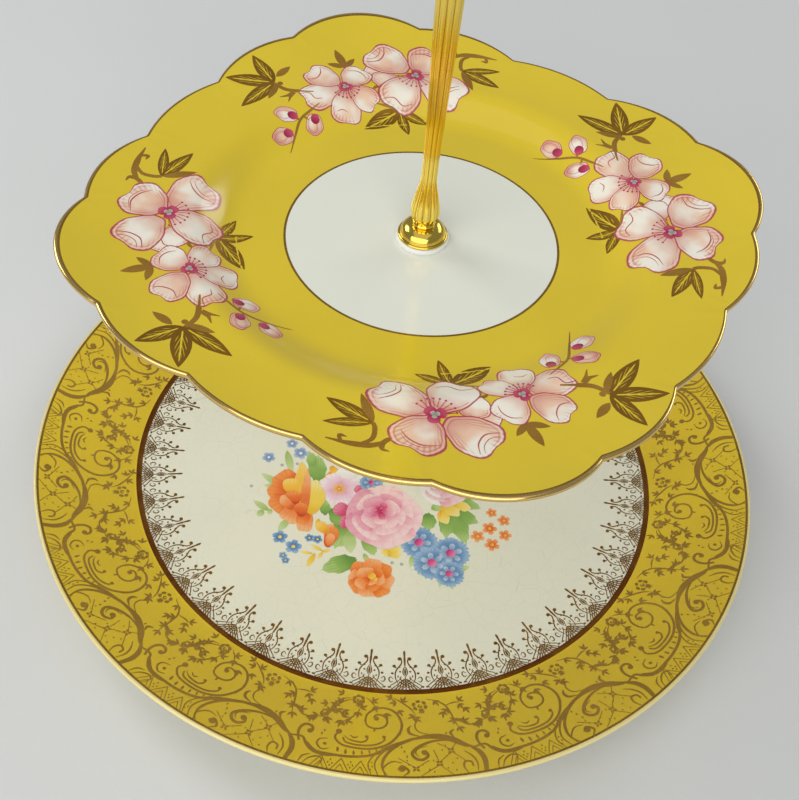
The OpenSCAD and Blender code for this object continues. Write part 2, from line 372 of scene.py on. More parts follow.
def veined_leaf(name, gold, ground):
    """A gilt leaf with its veins left bare."""
    f = Finish(name)
    u, v, _ = f.parts(f.uv())
    side = f.node("ShaderNodeMath", {"operation": "ABSOLUTE"}, {0: v - 0.5})
    mid = (1.0 - f.band(side, 0.035, 0.055)) * f.band(u, 0.10, 0.14) * (1.0 - f.band(u, 0.8, 0.9))
    slant = f.node("ShaderNodeMath", {"operation": "SINE"}, {0: (u * 2.0 - side * 2.4) * 17.0})
    ribs = f.band(slant, 0.60, 0.82) * (1.0 - f.band(side, 0.24, 0.3)) * f.band(u, 0.2,
            0.3) * (1.0 - f.band(u, 0.66, 0.8))
    bare = f.node("ShaderNodeMath", {"operation": "MAXIMUM"}, {0: mid, 1: ribs * 0.8})
    grain = f.noise(700.0, 2.0)
    tone = f.blend(f.band(f.noise(90.0), 0.35, 0.7) * 0.4, gold, shade(gold, 1.5))
    tone = f.blend(bare, tone, ground)
    return f.set(Base_Color=tone, Metallic=(1.0 - bare) * 0.7, Roughness=0.2 + grain * 0.12).material


def plastic(name, colour):
    """Moulded nylon with a soft sheen."""
    f = Finish(name)
    cloud = f.noise(160.0, 3.0)
    tone = f.blend(cloud * 0.25, colour, shade(colour, 0.88))
    return f.set(Base_Color=tone, Roughness=0.42 + cloud * 0.1,
                 Normal=f.bump(f.noise(900.0), 0.1, 0.0001)).material


def steel(name, colour):
    """Zinc-plated steel with turning marks."""
    f = Finish(name)
    _, _, z = f.parts(f.place())
    rings = f.node("ShaderNodeMath", {"operation": "SINE"}, {0: z * 9000.0})
    cloud = f.noise(200.0, 3.0)
    tone = f.blend(cloud * 0.5, colour, shade(colour, 0.75))
    return f.set(Base_Color=tone, Metallic=1.0, Roughness=0.26 + cloud * 0.14,
                 Normal=f.bump(rings * 0.5 + cloud, 0.12, 0.0001)).material


def cloth_floor(name):
    """A pale matt table top."""
    f = Finish(name)
    cloud = f.noise(9.0, 3.0)
    tone = f.blend(cloud * 0.5, (0.69, 0.70, 0.69), (0.62, 0.63, 0.625))
    return f.set(Base_Color=tone, Roughness=0.9, Specular_IOR_Level=0.1,
                 Normal=f.bump(f.noise(500.0), 0.08, 0.0005)).material


FINISHES = {}


def finish(name):
    """Make each finish once, from the settings, and hand it out by name."""
    if name in FINISHES:
        return FINISHES[name]
    c = bpy.context.scene.stand_colours
    flutes = bpy.context.scene.stand_sizes.flutes
    lemon, mustard, cream, white = (tuple(v) for v in (c.lemon, c.mustard, c.cream, c.white))
    gilding, gold = tuple(c.gilding), tuple(c.bright_gold)
    makers = {
        "lemon_glaze": lambda n: glaze(n, lemon, shade(lemon, 0.86), 0.13),
        "mustard_glaze": lambda n: glaze(n, mustard, mixed(mustard, (0.52, 0.33, 0.02), 0.5), 0.14, 0.6),
        "cream_glaze": lambda n: glaze(n, cream, shade(cream, 0.94), 0.12, 0.5, True),
        "white_glaze": lambda n: glaze(n, white, shade(white, 0.95), 0.12, 0.4),
        "gilding": lambda n: gilt(n, gilding, 0.28, 0.45),
        "palmette_gold": lambda n: gilt(n, (0.24, 0.115, 0.018), 0.26, 0.8),
        "gilt_line": lambda n: gilt(n, shade(gilding, 0.85), 0.24, 0.7),
        "rim_gold": lambda n: gilt(n, (0.84, 0.58, 0.20), 0.10, 1.0, 0.35),
        "lip_glaze": lambda n: glaze(n, mixed(cream, lemon, 0.62), mixed(cream, lemon, 0.5), 0.12),
        "band_gold": lambda n: gilt(n, (0.20, 0.06, 0.008), 0.22, 0.85, 0.35),
        "polished_gold": lambda n: polished(n, gold),
        "cup_gold": lambda n: polished(n, shade(gold, 0.80), 0.12),
        "fluted_gold": lambda n: fluted(n, gold, flutes),
        "nylon": lambda n: plastic(n, (0.84, 0.84, 0.81)),
        "zinc_steel": lambda n: steel(n, (0.60, 0.61, 0.63)),
        "leaf_gilt": lambda n: gilt(n, (0.33, 0.165, 0.016), 0.24, 0.3),
        "veined_leaf": lambda n: veined_leaf(n, (0.33, 0.165, 0.016), lemon),
        "blossom": lambda n: blossom_paint(n, (0.88, 0.84, 0.72), (0.84, 0.52, 0.34), (0.42, 0.03, 0.07)),
        "crimson": lambda n: painted(n, (0.30, 0.01, 0.05), (0.45, 0.03, 0.10), (0.55, 0.08, 0.14),
                                     streak=0.15),
        "fold_crimson": lambda n: gilt(n, (0.46, 0.07, 0.09), 0.2, 0.0, 0.3),
        "sage": lambda n: painted(n, (0.24, 0.25, 0.20), (0.34, 0.35, 0.28), (0.45, 0.45, 0.36), streak=0.1),
        "rose_pink": lambda n: painted(n, (0.52, 0.06, 0.15), (0.72, 0.23, 0.33), (0.80, 0.40, 0.47),
                                       streak=0.14),
        "rose_pale": lambda n: painted(n, (0.62, 0.13, 0.24), (0.79, 0.36, 0.44), (0.88, 0.64, 0.62),
                                       streak=0.14),
        "rose_deep": lambda n: painted(n, (0.48, 0.02, 0.10), (0.66, 0.08, 0.19), (0.76, 0.24, 0.34)),
        "lilac": lambda n: painted(n, (0.76, 0.36, 0.48), (0.83, 0.58, 0.66), (0.88, 0.78, 0.80)),
        "petal_white": lambda n: painted(n, (0.78, 0.55, 0.58), (0.84, 0.78, 0.76), (0.88, 0.86, 0.82),
                                         streak=0.2),
        "poppy": lambda n: painted(n, (0.56, 0.045, 0.01), (0.78, 0.15, 0.025), (0.85, 0.30, 0.07),
                                   streak=0.25),
        "poppy_light": lambda n: painted(n, (0.70, 0.11, 0.02), (0.84, 0.27, 0.07), (0.87, 0.45, 0.20),
                                         streak=0.25),
        "amber": lambda n: painted(n, (0.80, 0.28, 0.02), (0.86, 0.48, 0.05), (0.88, 0.62, 0.14)),
        "buttercup": lambda n: painted(n, (0.78, 0.46, 0.03), (0.85, 0.62, 0.09), (0.86, 0.72, 0.28)),
        "cornflower": lambda n: painted(n, (0.06, 0.15, 0.34), (0.13, 0.28, 0.50), (0.32, 0.47, 0.64)),
        "forget_me_not": lambda n: painted(n, (0.14, 0.24, 0.42), (0.26, 0.38, 0.56), (0.50, 0.58, 0.66)),
        "leaf_green": lambda n: painted(n, (0.13, 0.27, 0.05), (0.25, 0.42, 0.09), (0.44, 0.58, 0.20),
                                        streak=0.4),
        "leaf_light": lambda n: painted(n, (0.30, 0.44, 0.10), (0.46, 0.58, 0.22), (0.60, 0.68, 0.36),
                                        streak=0.4),
        "magenta": lambda n: painted(n, (0.50, 0.02, 0.16), (0.64, 0.08, 0.26), (0.72, 0.24, 0.38),
                                     streak=0.2),
        "grey_line": lambda n: painted(n, (0.36, 0.38, 0.36), (0.44, 0.46, 0.42), (0.5, 0.52, 0.48),
                                       streak=0.2),
        "table": cloth_floor,
    }
    FINISHES[name] = makers[name](name)
    return FINISHES[name]


# ---------------------------------------------------------------- shapes

def ease(a, b, t):
    """Cosine easing from a to b."""
    return a + (b - a) * (1 - math.cos(math.pi * min(1.0, max(0.0, t)))) / 2


LOWER_WELL = 9.8            # height of the lower plate's flat centre, in millimetres
LOWER_FLAT = 84             # radius at which it starts to rise
LOWER_BEND = 22             # width of the bend up to the rim
LOWER_SLOPE = 0.335         # rise of the rim for each millimetre outwards
UPPER_FLAT = 57             # the same for the upper plate
UPPER_RIM = 75              # radius at which its rim starts
UPPER_RISE = 6.1            # height of its rim's inner edge over the flat centre
SCALLOP_START = 78          # inside this radius the upper plate is round
HOLE = 4.2                  # radius of the drilled holes


def lower_top(r):
    """Height of the lower plate's upper surface at a radius, in millimetres."""
    if r <= LOWER_FLAT:
        return LOWER_WELL
    t = min(1.0, (r - LOWER_FLAT) / LOWER_BEND)
    straight = max(0.0, r - LOWER_FLAT - LOWER_BEND)
    return LOWER_WELL + LOWER_SLOPE * (LOWER_BEND * (t ** 3 - t ** 4 / 2) + straight)


def upper_top(r):
    """Height of the upper plate's upper surface at a radius, in millimetres."""
    if r <= UPPER_FLAT:
        return UPPER_WELL
    if r <= UPPER_RIM:
        return UPPER_WELL + ease(0, UPPER_RISE, (r - UPPER_FLAT) / (UPPER_RIM - UPPER_FLAT))
    out = r - UPPER_RIM
    return UPPER_WELL + UPPER_RISE + 0.0128 * out + 0.003472 * out ** 2


# where two lobes of the scalloped edge meet, round one corner of the square
NOTCHES = ((93.9, -18.9), (93.9, 18.9), (88.3, 55.3), (55.3, 88.3))
NOTCH_ANGLES = sorted(round(math.degrees(math.atan2(y, x)) % 90, 2) for x, y in NOTCHES)
SIDE_BULGE, SHOULDER_BULGE, CORNER_BULGE = 3.5, 4.6, 10.0


def lobe_circles():
    """Centres and radii of the circles whose union is the scalloped outline."""
    circles = []
    side_low, side_high, corner, corner_end = NOTCHES
    pairs = [(side_low, side_high, SIDE_BULGE), (side_high, corner, SHOULDER_BULGE),
             ((corner[0], -corner[1]), side_low, SHOULDER_BULGE), (corner, corner_end, CORNER_BULGE)]
    for (px, py), (qx, qy), s in pairs:
        dx, dy = qx - px, qy - py
        chord = math.hypot(dx, dy)
        r = (chord * chord / 4 + s * s) / (2 * s)
        out = (dy / chord, -dx / chord)
        cx, cy = (px + qx) / 2 + out[0] * (s - r), (py + qy) / 2 + out[1] * (s - r)
        for k in range(4):
            c, t = math.cos(k * math.pi / 2), math.sin(k * math.pi / 2)
            circles.append((cx * c - cy * t, cx * t + cy * c, r))
    return circles


LOBES = lobe_circles()


def scallop(angle):
    """Radius of the upper plate's outline in a direction."""
    dx, dy = math.cos(angle), math.sin(angle)
    best = 88.0
    for cx, cy, r in LOBES:
        along = cx * dx + cy * dy
        off = cx * cx + cy * cy - along * along
        if off < r * r:
            best = max(best, along + math.sqrt(r * r - off))
    return best


def append(bm, part):
    """Add a part's faces to a bmesh and free the part."""
    mesh = bpy.data.meshes.new("part")
    part.to_mesh(mesh)
    part.free()
    bm.from_mesh(mesh)
    bpy.data.meshes.remove(mesh)


def turned(section, steps, closed=True):
    """Spin a section of (radius, height) points once round the Z axis."""
    bm = bmesh.new()
    verts = [bm.verts.new((r, 0, z)) for r, z in section]
    ends = verts[1:] + verts[:1] if closed else verts[1:]
    edges = [bm.edges.new(pair) for pair in zip(verts, ends)]
    bmesh.ops.spin(bm, geom=verts + edges, cent=(0, 0, 0), axis=(0, 0, 1), dvec=(0, 0, 0),
                   angle=math.tau / 4, steps=steps // 4, use_merge=False, use_duplicate=False)
    quarters = [bm.copy() for _ in range(3)]
    for k, part in enumerate(quarters):
        bmesh.ops.rotate(part, cent=(0, 0, 0), matrix=Matrix.Rotation(math.tau * (k + 1) / 4, 3, "Z"),
                         verts=part.verts)
        append(bm, part)
    bmesh.ops.remove_doubles(bm, verts=bm.verts, dist=2e-4)
    return bm


def piece(name, bm, finishes, body, nodes=(), sharp=42.0, merge=True):
    """Turn a bmesh in millimetres into a named piece in metres that rides on a body."""
    if merge:
        bmesh.ops.remove_doubles(bm, verts=bm.verts, dist=1e-4)
    bmesh.ops.recalc_face_normals(bm, faces=bm.faces)
    bmesh.ops.scale(bm, vec=(MM, MM, MM), verts=bm.verts)
    for e in bm.edges:
        if len(e.link_faces) == 2 and e.calc_face_angle(0.0) > math.radians(sharp):
            e.smooth = False
    for f in bm.faces:
        f.smooth = True
    mesh = bpy.data.meshes.new(name)
    bm.to_mesh(mesh)
    bm.free()
    for each in finishes:
        mesh.materials.append(finish(each))
    obj = bpy.data.objects.new(name, mesh)
    bpy.context.scene.collection.objects.link(obj)
    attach(obj, body)
    if nodes:
        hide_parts(*nodes)
    return obj


class Enamel:
    """Collects raised enamel petals, leaves and dots that lie on a plate's surface."""

    def __init__(self, surface, around=26, rings=6):
        self.surface = surface
        self.bm = bmesh.new()
        self.bm.loops.layers.uv.new("UVMap")
        self.finishes = []
        self.around = around
        self.rings = rings
        self.layer = 0.03

    def slot(self, name):
        if name not in self.finishes:
            self.finishes.append(name)
        return self.finishes.index(name)

    def lens(self, name, x, y, length, width, turn, taper=0.0, point=0.0, notch=0.0,
             wave=0.0, waves=5, lift=None, bend=0.0, around=None, rings=None):
        """One flat closed petal centred at x, y whose long axis is turned by some degrees."""
        lift = self.layer if lift is None else lift
        mat = self.slot(name)
        part = bmesh.new()
        uv = part.loops.layers.uv.new("UVMap")
        made = bmesh.ops.create_uvsphere(part, u_segments=around or self.around,
                                         v_segments=rings or self.rings, radius=1.0)["verts"]
        c, s = math.cos(math.radians(turn)), math.sin(math.radians(turn))
        flat = {}
        for v in made:
            u, w, h = v.co
            flat[v] = (0.5 + 0.5 * u, 0.5 + 0.5 * w)
            phase = math.atan2(w, u)
            swell = 1 + wave * math.sin(waves * phase + x + 2 * y) * math.hypot(u, w)
            px = u * swell * length / 2
            px -= notch * length * max(0.0, u) ** 3 * math.exp(-(w / 0.35) ** 2)
            py = w * swell * width / 2 * (1 + taper * u) * max(0.0, 1 - u * u) ** point
            py += bend * length * (u * u - 0.3)
            gx, gy = x + px * c - py * s, y + px * s + py * c
            ground = self.surface(math.hypot(gx, gy))
            v.co = (gx, gy, ground + (lift + 0.006 * h if h > -0.05 else -0.06))
        for face in part.faces:
            face.material_index = mat
            for loop in face.loops:
                loop[uv].uv = flat[loop.vert]
        append(self.bm, part)

    def leaf(self, name, x0, y0, x1, y1, width, **more):
        """A pointed leaf from its base to its tip."""
        shape = {"point": 0.38, "taper": -0.12}
        shape.update(more)
        self.lens(name, (x0 + x1) / 2, (y0 + y1) / 2, math.hypot(x1 - x0, y1 - y0) * 1.02, width,
                  math.degrees(math.atan2(y1 - y0, x1 - x0)), **shape)

    def petal(self, name, x0, y0, x1, y1, width, **more):
        """A rounded petal from its base to its tip."""
        shape = {"taper": 0.28, "wave": 0.03}
        shape.update(more)
        self.lens(name, (x0 + x1) / 2, (y0 + y1) / 2, math.hypot(x1 - x0, y1 - y0), width,
                  math.degrees(math.atan2(y1 - y0, x1 - x0)), **shape)

    def dot(self, name, x, y, r, **more):
        """A round dot."""
        self.lens(name, x, y, 2 * r, 2 * r, 0, around=12, rings=4, **more)

    def rosette(self, name, x, y, r, count, width, turn=0.0, start=0.12, **more):
        """Petals set round a centre."""
        for k in range(count):
            a = math.radians(turn + 360 * k / count)
            self.petal(name, x + r * start * math.cos(a), y + r * start * math.sin(a),
                       x + r * math.cos(a), y + r * math.sin(a), width, **more)

    def copy_round(self, angle):
        """The same shapes turned about the plate's axis."""
        twin = self.bm.copy()
        bmesh.ops.rotate(twin, cent=(0, 0, 0), matrix=Matrix.Rotation(angle, 3, "Z"), verts=twin.verts)
        return twin


def flow(points, width, per=5, ends=(0.35, 0.35)):
    """A smooth line through a few points, thickest in the middle: (x, y, half width) points."""
    pts = [Vector(p) for p in points]
    pts = [pts[0] * 2 - pts[1]] + pts + [pts[-1] * 2 - pts[-2]]
    line = []
    spans = len(pts) - 3
    for i in range(spans):
        a, b, c, d = pts[i:i + 4]
        for j in range(per + (i == spans - 1)):
            t = j / per
            p = 0.5 * ((2 * b) + (c - a) * t + (2 * a - 5 * b + 4 * c - d) * t * t
                       + (3 * b - a - 3 * c + d) * t ** 3)
            line.append((p, (i + t) / spans))
    done = []
    for p, t in line:
        grow = ends[0] + (1 - ends[0]) * min(1.0, t / 0.35) if t < 0.5 else \
            ends[1] + (1 - ends[1]) * min(1.0, (1 - t) / 0.35)
        done.append((p[0], p[1], width * grow))
    return done


def inlay(name, lines, surface, raised=0.0):
    """Lay tapering strokes on a plate: a tube along each line, pressed flat on the surface."""
    curve = bpy.data.curves.new(name, "CURVE")
    curve.dimensions = "3D"
    curve.bevel_depth = 1.0
    curve.bevel_resolution = 0
    curve.use_fill_caps = True
    curve.resolution_u = 1
    for line in lines:
        spline = curve.splines.new("POLY")
        spline.points.add(len(line) - 1)
        for knot, (x, y, w) in zip(spline.points, line):
            knot.co = (x, y, 0.0, 1.0)
            knot.radius = w
    holder = bpy.data.objects.new(name, curve)
    bpy.context.scene.collection.objects.link(holder)
    mesh = bpy.data.meshes.new_from_object(holder.evaluated_get(bpy.context.evaluated_depsgraph_get()))
    bpy.data.objects.remove(holder)
    bpy.data.curves.remove(curve)
    bm = bmesh.new()
    bm.from_mesh(mesh)
    bpy.data.meshes.remove(mesh)
    for v in bm.verts:
        x, y, z = v.co
        ground = surface(math.hypot(x, y))
        v.co.z = ground + (0.03 + raised + 0.12 * min(z, 0.4) if z > -0.01 else -0.06)
    return bm


def wrapped(line, centre, radius, mirror=1):
    """Bend a line drawn as (along the rim, radius) round the plate, from a centre angle."""
    done = []
    for u, r, w in line:
        a = centre + mirror * u / radius
        done.append((r * math.cos(a), r * math.sin(a), w))
    return done


# ---------------------------------------------------------------- plates

def zone(bm, chooser):
    """Give each face a material slot from its radius and whether it faces up."""
    for face in bm.faces:
        mid = face.calc_center_median()
        face.material_index = chooser(math.hypot(mid.x, mid.y), mid)


class STAND_OT_lower_plate(bpy.types.Operator):
    """Round dinner plate with a cream centre and a mustard rim"""
    bl_idname = "cake_stand.lower_plate"
    bl_label = "Lower plate"

    def execute(self, context):
        sizes = context.scene.stand_sizes
        rim = LOWER_RIM
        inner = sizes.lower_centre / MM
        outer = inner + sizes.gilt_band / MM
        tops = [HOLE, 20, 40, 60, 74, 80, 83, 86, 89, 91, 93, inner - 0.7, inner, inner + 0.35,
                outer - 0.35, outer, outer + 1, 102, 105, 108, 112, 116, 120, 124, 127, 129,
                rim - 1.95, rim - 1.15]
        top = [(r, lower_top(r) + (0.12 if inner < r < outer else 0.0)) for r in tops]
        lip = [(rim - 0.7, 22.32), (rim - 0.32, 22.12), (rim - 0.08, 21.75), (rim, 21.35),
               (rim - 0.1, 20.95), (rim - 0.5, 20.55), (rim - 1.6, 19.95)]
        under = [(123.2, 15.8), (117, 13.5), (110.6, 11.4), (105, 9.3), (100, 7.5), (97, 6.6), (94, 6.1),
                 (90, 5.6), (87.4, 5.2), (86.2, 4.5), (85.4, 2.6), (84.6, 0.6), (84.2, 0.15), (83.7, 0),
                 (82.1, 0), (81.6, 0.15), (81.2, 0.6), (80.3, 3.2), (79.5, 4.9), (78.5, 5.7), (76, 6),
                 (60, 6), (30, 6), (4.2, 6)]
        bm = turned(top + lip + under, 360)

        def choose(r, mid):
            if r > rim - 1.2 or (r > rim - 6 and mid.z < lower_top(min(r, rim - 1)) - 1.0):
                return 4
            if mid.z < lower_top(r) - 1.0:
                return 0
            if r > rim - 1.95:
                return 3
            if r > outer:
                return 1
            return 2 if r > inner else 0

        zone(bm, choose)
        piece("lower_plate_glazed", bm, ["cream_glaze", "mustard_glaze", "band_gold", "gilt_line",
                                         "lip_glaze"],
              "lower_tier", ["lower_plate"], sharp=60)
        return {"FINISHED"}


class STAND_OT_upper_plate(bpy.types.Operator):
    """Square plate with a scalloped gilt edge, a white centre and a lemon rim"""
    bl_idname = "cake_stand.upper_plate"
    bl_label = "Upper plate"

    def execute(self, context):
        centre = context.scene.stand_sizes.upper_centre / MM
        tops = [HOLE, 14, 26, 36, centre, centre + 0.75, 48, 52, 55, 57, 59, 61, 63, 65, 67, 69, 71,
                73, 75, 77, 79, 81.5, 84, 87, 90, 92.5, 95, 96.8, 98, 98.75, 99.2]
        top = [(r, 0.0) for r in tops]
        lip = [(99.55, 0.06), (99.82, 0.26), (99.97, 0.62), (100, 1.05), (99.93, 1.5), (99.72, 1.95),
               (99.35, 2.3), (98.7, 2.55)]
        under = [(96, 2.65), (92, 2.75), (88, 2.8), (84, 2.8), (80, 2.8), (76, 3.0), (72, 3.2), (68, 3.4),
                 (64, 3.6), (60, 3.75), (56, 3.8), (54.4, 4.0), (53.6, 4.6), (53.1, 5.7), (52.8, 6.05),
                 (52.3, 6.2), (50.7, 6.2), (50.2, 6.05), (49.9, 5.7), (49.2, 4.6), (48.2, 4.0), (46, 3.8),
                 (30, 3.8), (4.2, 3.8)]
        bm = turned([(r, -d) for r, d in top + lip + under], 720)

        def choose(r, mid):
            if r > 99.0 and mid.z > -2.05:
                return 4
            if mid.z < -0.6 or (r < 4.3):
                return 0
            if r > 98.7:
                return 3
            if r > centre + 0.75:
                return 1
            return 2 if r > centre else 0

        zone(bm, choose)
        for v in bm.verts:
            r = math.hypot(v.co.x, v.co.y)
            angle = math.atan2(v.co.y, v.co.x)
            edge = scallop(angle)
            place = r
            if r > SCALLOP_START:
                place = SCALLOP_START + (r - SCALLOP_START) * (edge - SCALLOP_START) / (100 - SCALLOP_START)
            depth = -v.co.z
            height = upper_top(place) - depth
            if r > 79 and depth < 1.5:
                height += self.emboss(place, edge, angle)
            v.co = (place * math.cos(angle), place * math.sin(angle), height)
        piece("upper_plate_glazed", bm, ["white_glaze", "lemon_glaze", "gilt_line", "gilt_line", "rim_gold"],
              "upper_tier", ["upper_plate"], sharp=60)
        return {"FINISHED"}

    @staticmethod
    def emboss(place, edge, angle):
        """Low ridges pressed in the rim beside each notch."""
        quarter = math.degrees(angle) % 90
        height = 0.0
        inward = edge - place
        for notch in NOTCH_ANGLES:
            off = (quarter - notch) * math.radians(place)
            for side in (-1, 1):
                ridge = off - side * (1.4 + 0.30 * inward)
                fade_in = max(0.0, min(1.0, (11 - inward) / 4))
                fade_out = max(0.0, min(1.0, (inward - 1.2) / 2))
                height += 0.10 * math.exp(-(ridge / 0.75) ** 2) * fade_in * fade_out
        return height


# ---------------------------------------------------------------- gilt print on the lower plate

def spiral(x, y, r0, r1, a0, a1, w, n=14):
    """A spiral stroke about a point, from one radius and angle to another."""
    line = []
    for i in range(n + 1):
        t = i / n
        a = math.radians(a0 + (a1 - a0) * t)
        r = r0 + (r1 - r0) * t
        line.append((x + r * math.cos(a), y + r * math.sin(a),
                     w * (0.45 + 0.55 * math.sin(math.pi * min(1, t + 0.2)))))
    return line


def ball(x, y, r):
    """A short fat stroke that reads as a dot."""
    return [(x - r, y, r * 0.35), (x - r * 0.45, y, r * 0.85), (x + r * 0.45, y, r * 0.85),
            (x + r, y, r * 0.35)]


def dash(x, y, length, w, lean=0.0):
    """A short stroke that may lean to one side."""
    return [(x + lean, y + length / 2, w * 0.5), (x, y, w), (x - lean, y - length / 2, w * 0.3)]


def sprig(x, y, turn, size=2.5, w=0.42):
    """Three narrow leaves from one point."""
    lines = []
    for spread, share in ((-48, 0.85), (0, 1.1), (48, 0.85)):
        a = math.radians(turn + spread)
        dx, dy = math.cos(a) * size * share, math.sin(a) * size * share
        lines.append([(x, y, w * 0.4), (x + dx * 0.55, y + dy * 0.55, w), (x + dx, y + dy, w * 0.25)])
    return lines


def scroll_lines():
    """One repeat of the large scrolls and the shell, as (along, radius, half width) lines."""
    lines = []
    # the arch that swings down under the shell
    lines.append(flow([(-37, 122.6), (-33.6, 125.2), (-29, 125.4), (-23.5, 125.1), (-18, 123.8),
                       (-13.5, 121.2),
                       (-9.5, 118.6), (-5.5, 116.6), (-1, 115.5)], 0.42, 4, (0.9, 1.0)))
    lines.append(flow([(-4.5, 116.4), (-0.5, 115.5), (4, 115.8), (8, 117.6), (11.2, 120.2), (13.2, 121.2)],
                      0.95, 4, (0.35, 0.3)))
    lines.append(flow([(12.8, 121.3), (14.6, 123.6), (15.3, 127), (14.6, 131.1)], 0.75, 4, (0.5, 0.8)))
    lines.append(flow([(13.4, 121.5), (17, 121), (18.6, 123.2), (21, 125.4), (25, 126.2), (29, 125.2)],
                      0.40, 4, (0.7, 0.4)))
    # the tall scroll that hangs beside the shell and curls in below
    lines.append(flow([(16.4, 122.8), (15.4, 120), (15.4, 117.6), (16.6, 115.8), (18.6, 115.9),
                       (19.3, 117.3),
                       (18.7, 118.5)], 0.42, 4, (0.8, 0.9)))
    lines.append(ball(18.6, 118.0, 0.85))
    # the spiral inside the shell
    lines.append(flow([(9, 118.4), (5, 117.4), (1, 117.6), (-3, 119.4), (-5.3, 122), (-4.4, 124.2),
                       (-2.4, 124.7),
                       (-0.7, 123.2), (-1.2, 121.6)], 0.46, 4, (0.3, 0.9)))
    lines.append(ball(-1.6, 121.9, 0.95))
    lines.append(flow([(-0.5, 119.2), (-3.6, 120.4), (-4.3, 122.2), (-3.3, 123.5)], 0.22, 3))
    # long parallel feathers on the shell's left side
    for shift, w in ((0.0, 0.42), (-2.1, 0.26), (-3.9, 0.22)):
        lines.append(flow([(-13.2 + shift, 131), (-14.2 + shift, 127), (-12.8 + shift * 0.8, 122.6),
                           (-9.2 + shift * 0.5, 118.8), (-3.6 + shift * 0.2, 116)], w, 4, (0.5, 0.7)))
    lines.append(flow([(-12.5, 131), (-14, 128.6), (-11.4, 125.6), (-8.4, 126)], 0.24, 3))
    lines.append(flow([(-8.2, 131), (-6.7, 129.2), (-8.4, 127.2), (-9.8, 128.5)], 0.36, 4))
    lines.append(ball(-8.6, 128.4, 0.95))
    # the right side of the shell, with its own loop
    lines.append(flow([(9.6, 131), (8.9, 128.6), (9.6, 126.6), (11.3, 127), (11.5, 128.8)], 0.3, 4,
                      (0.4, 0.9)))
    lines.append(flow([(12.4, 130.8), (12.9, 127.4), (12, 124.6), (10.2, 122.4)], 0.26, 4))
    lines.append(flow([(18.2, 131), (19, 128.2), (21, 126.8)], 0.24, 4))
    lines.append(flow([(19.5, 131), (20.7, 128.6), (23, 127.2), (24.5, 128.2), (23.6, 131)], 0.26, 4))
    # arches under the border, each ending in a ball
    lines.append(flow([(-28.4, 116.2), (-29, 118.4), (-26.6, 120.8), (-22, 121.4), (-17, 120.9),
                       (-12.4, 118.6),
                       (-9.4, 115), (-8, 111.5), (-8.4, 108), (-10.4, 105), (-14, 103.6), (-17.6, 104.6),
                       (-19.9, 107), (-20.3, 110)], 0.36, 4, (0.8, 0.8)))
    lines.append(ball(-28.2, 115.7, 0.95))
    lines.append(flow([(-26.6, 117.8), (-25.4, 119.6), (-21.6, 120.1), (-17, 119.5), (-14, 117.6),
                       (-13.6, 115.9)],
                      0.3, 4, (0.8, 0.8)))
    lines.append(ball(-13.8, 115.9, 0.6))
    lines.append(flow([(-26.2, 117.2), (-24, 118.5), (-20.4, 118.7), (-18.9, 117), (-19.6, 116)], 0.28, 4))
    lines.append(ball(-19.3, 116.3, 0.55))
    lines.append(flow([(-24.6, 116.4), (-23.2, 117.3), (-21.9, 116.6)], 0.24, 3))
    # the ring spiral
    lines.append(flow([(-20.3, 109.6), (-19.4, 111.8), (-16.6, 112.6), (-13.8, 111.6), (-12.8, 109.2),
                       (-14, 107.1), (-16.4, 106.7), (-17.6, 108)], 0.3, 4, (0.8, 0.9)))
    lines.append(ball(-16.6, 108.4, 0.85))
    lines.append(dash(-17, 113.2, 1.7, 0.3))
    # hooks and commas
    lines.append(flow([(-2.6, 115.2), (-5.4, 114.1), (-5.9, 112.2), (-5, 110.9)], 0.42, 4, (0.3, 0.3)))
    lines.append(flow([(8.4, 116.6), (7.6, 114.6), (9, 113.4)], 0.4, 3))
    lines.append(flow([(1.6, 114.9), (-2.6, 113.4), (-3.6, 110.8), (-2.6, 108.6), (-3, 106.2)], 0.22, 4))
    lines.append(dash(-8.7, 114.2, 1.0, 0.34))
    lines.append(dash(6.2, 114.6, 0.9, 0.3))
    lines.append(flow([(-31, 119.4), (-33.3, 120.2), (-33.8, 122.3), (-32, 124), (-29.9, 123.2)], 0.27, 4))
    lines.append(ball(-31.5, 121.7, 0.55))
    for k, (x, y, h) in enumerate(((-27.4, 122.9, 1.9), (-25, 123.4, 1.9), (-22.6, 123.4, 1.8),
                                   (-20.2, 122.9, 1.5),
                                   (-18, 122.3, 1.3), (-16, 121.5, 1.1), (-14.2, 120.5, 0.9))):
        lines.append(dash(x, y, h, 0.42 - 0.03 * k, 0.12))
    for x, y in ((-33.2, 117.8), (-32.6, 116.4), (-11.6, 120.2), (-7.6, 121.4), (-8.4, 119.7),
                 (-6.9, 123.4)):
        lines.append(dash(x, y, 0.9, 0.28))
    return lines


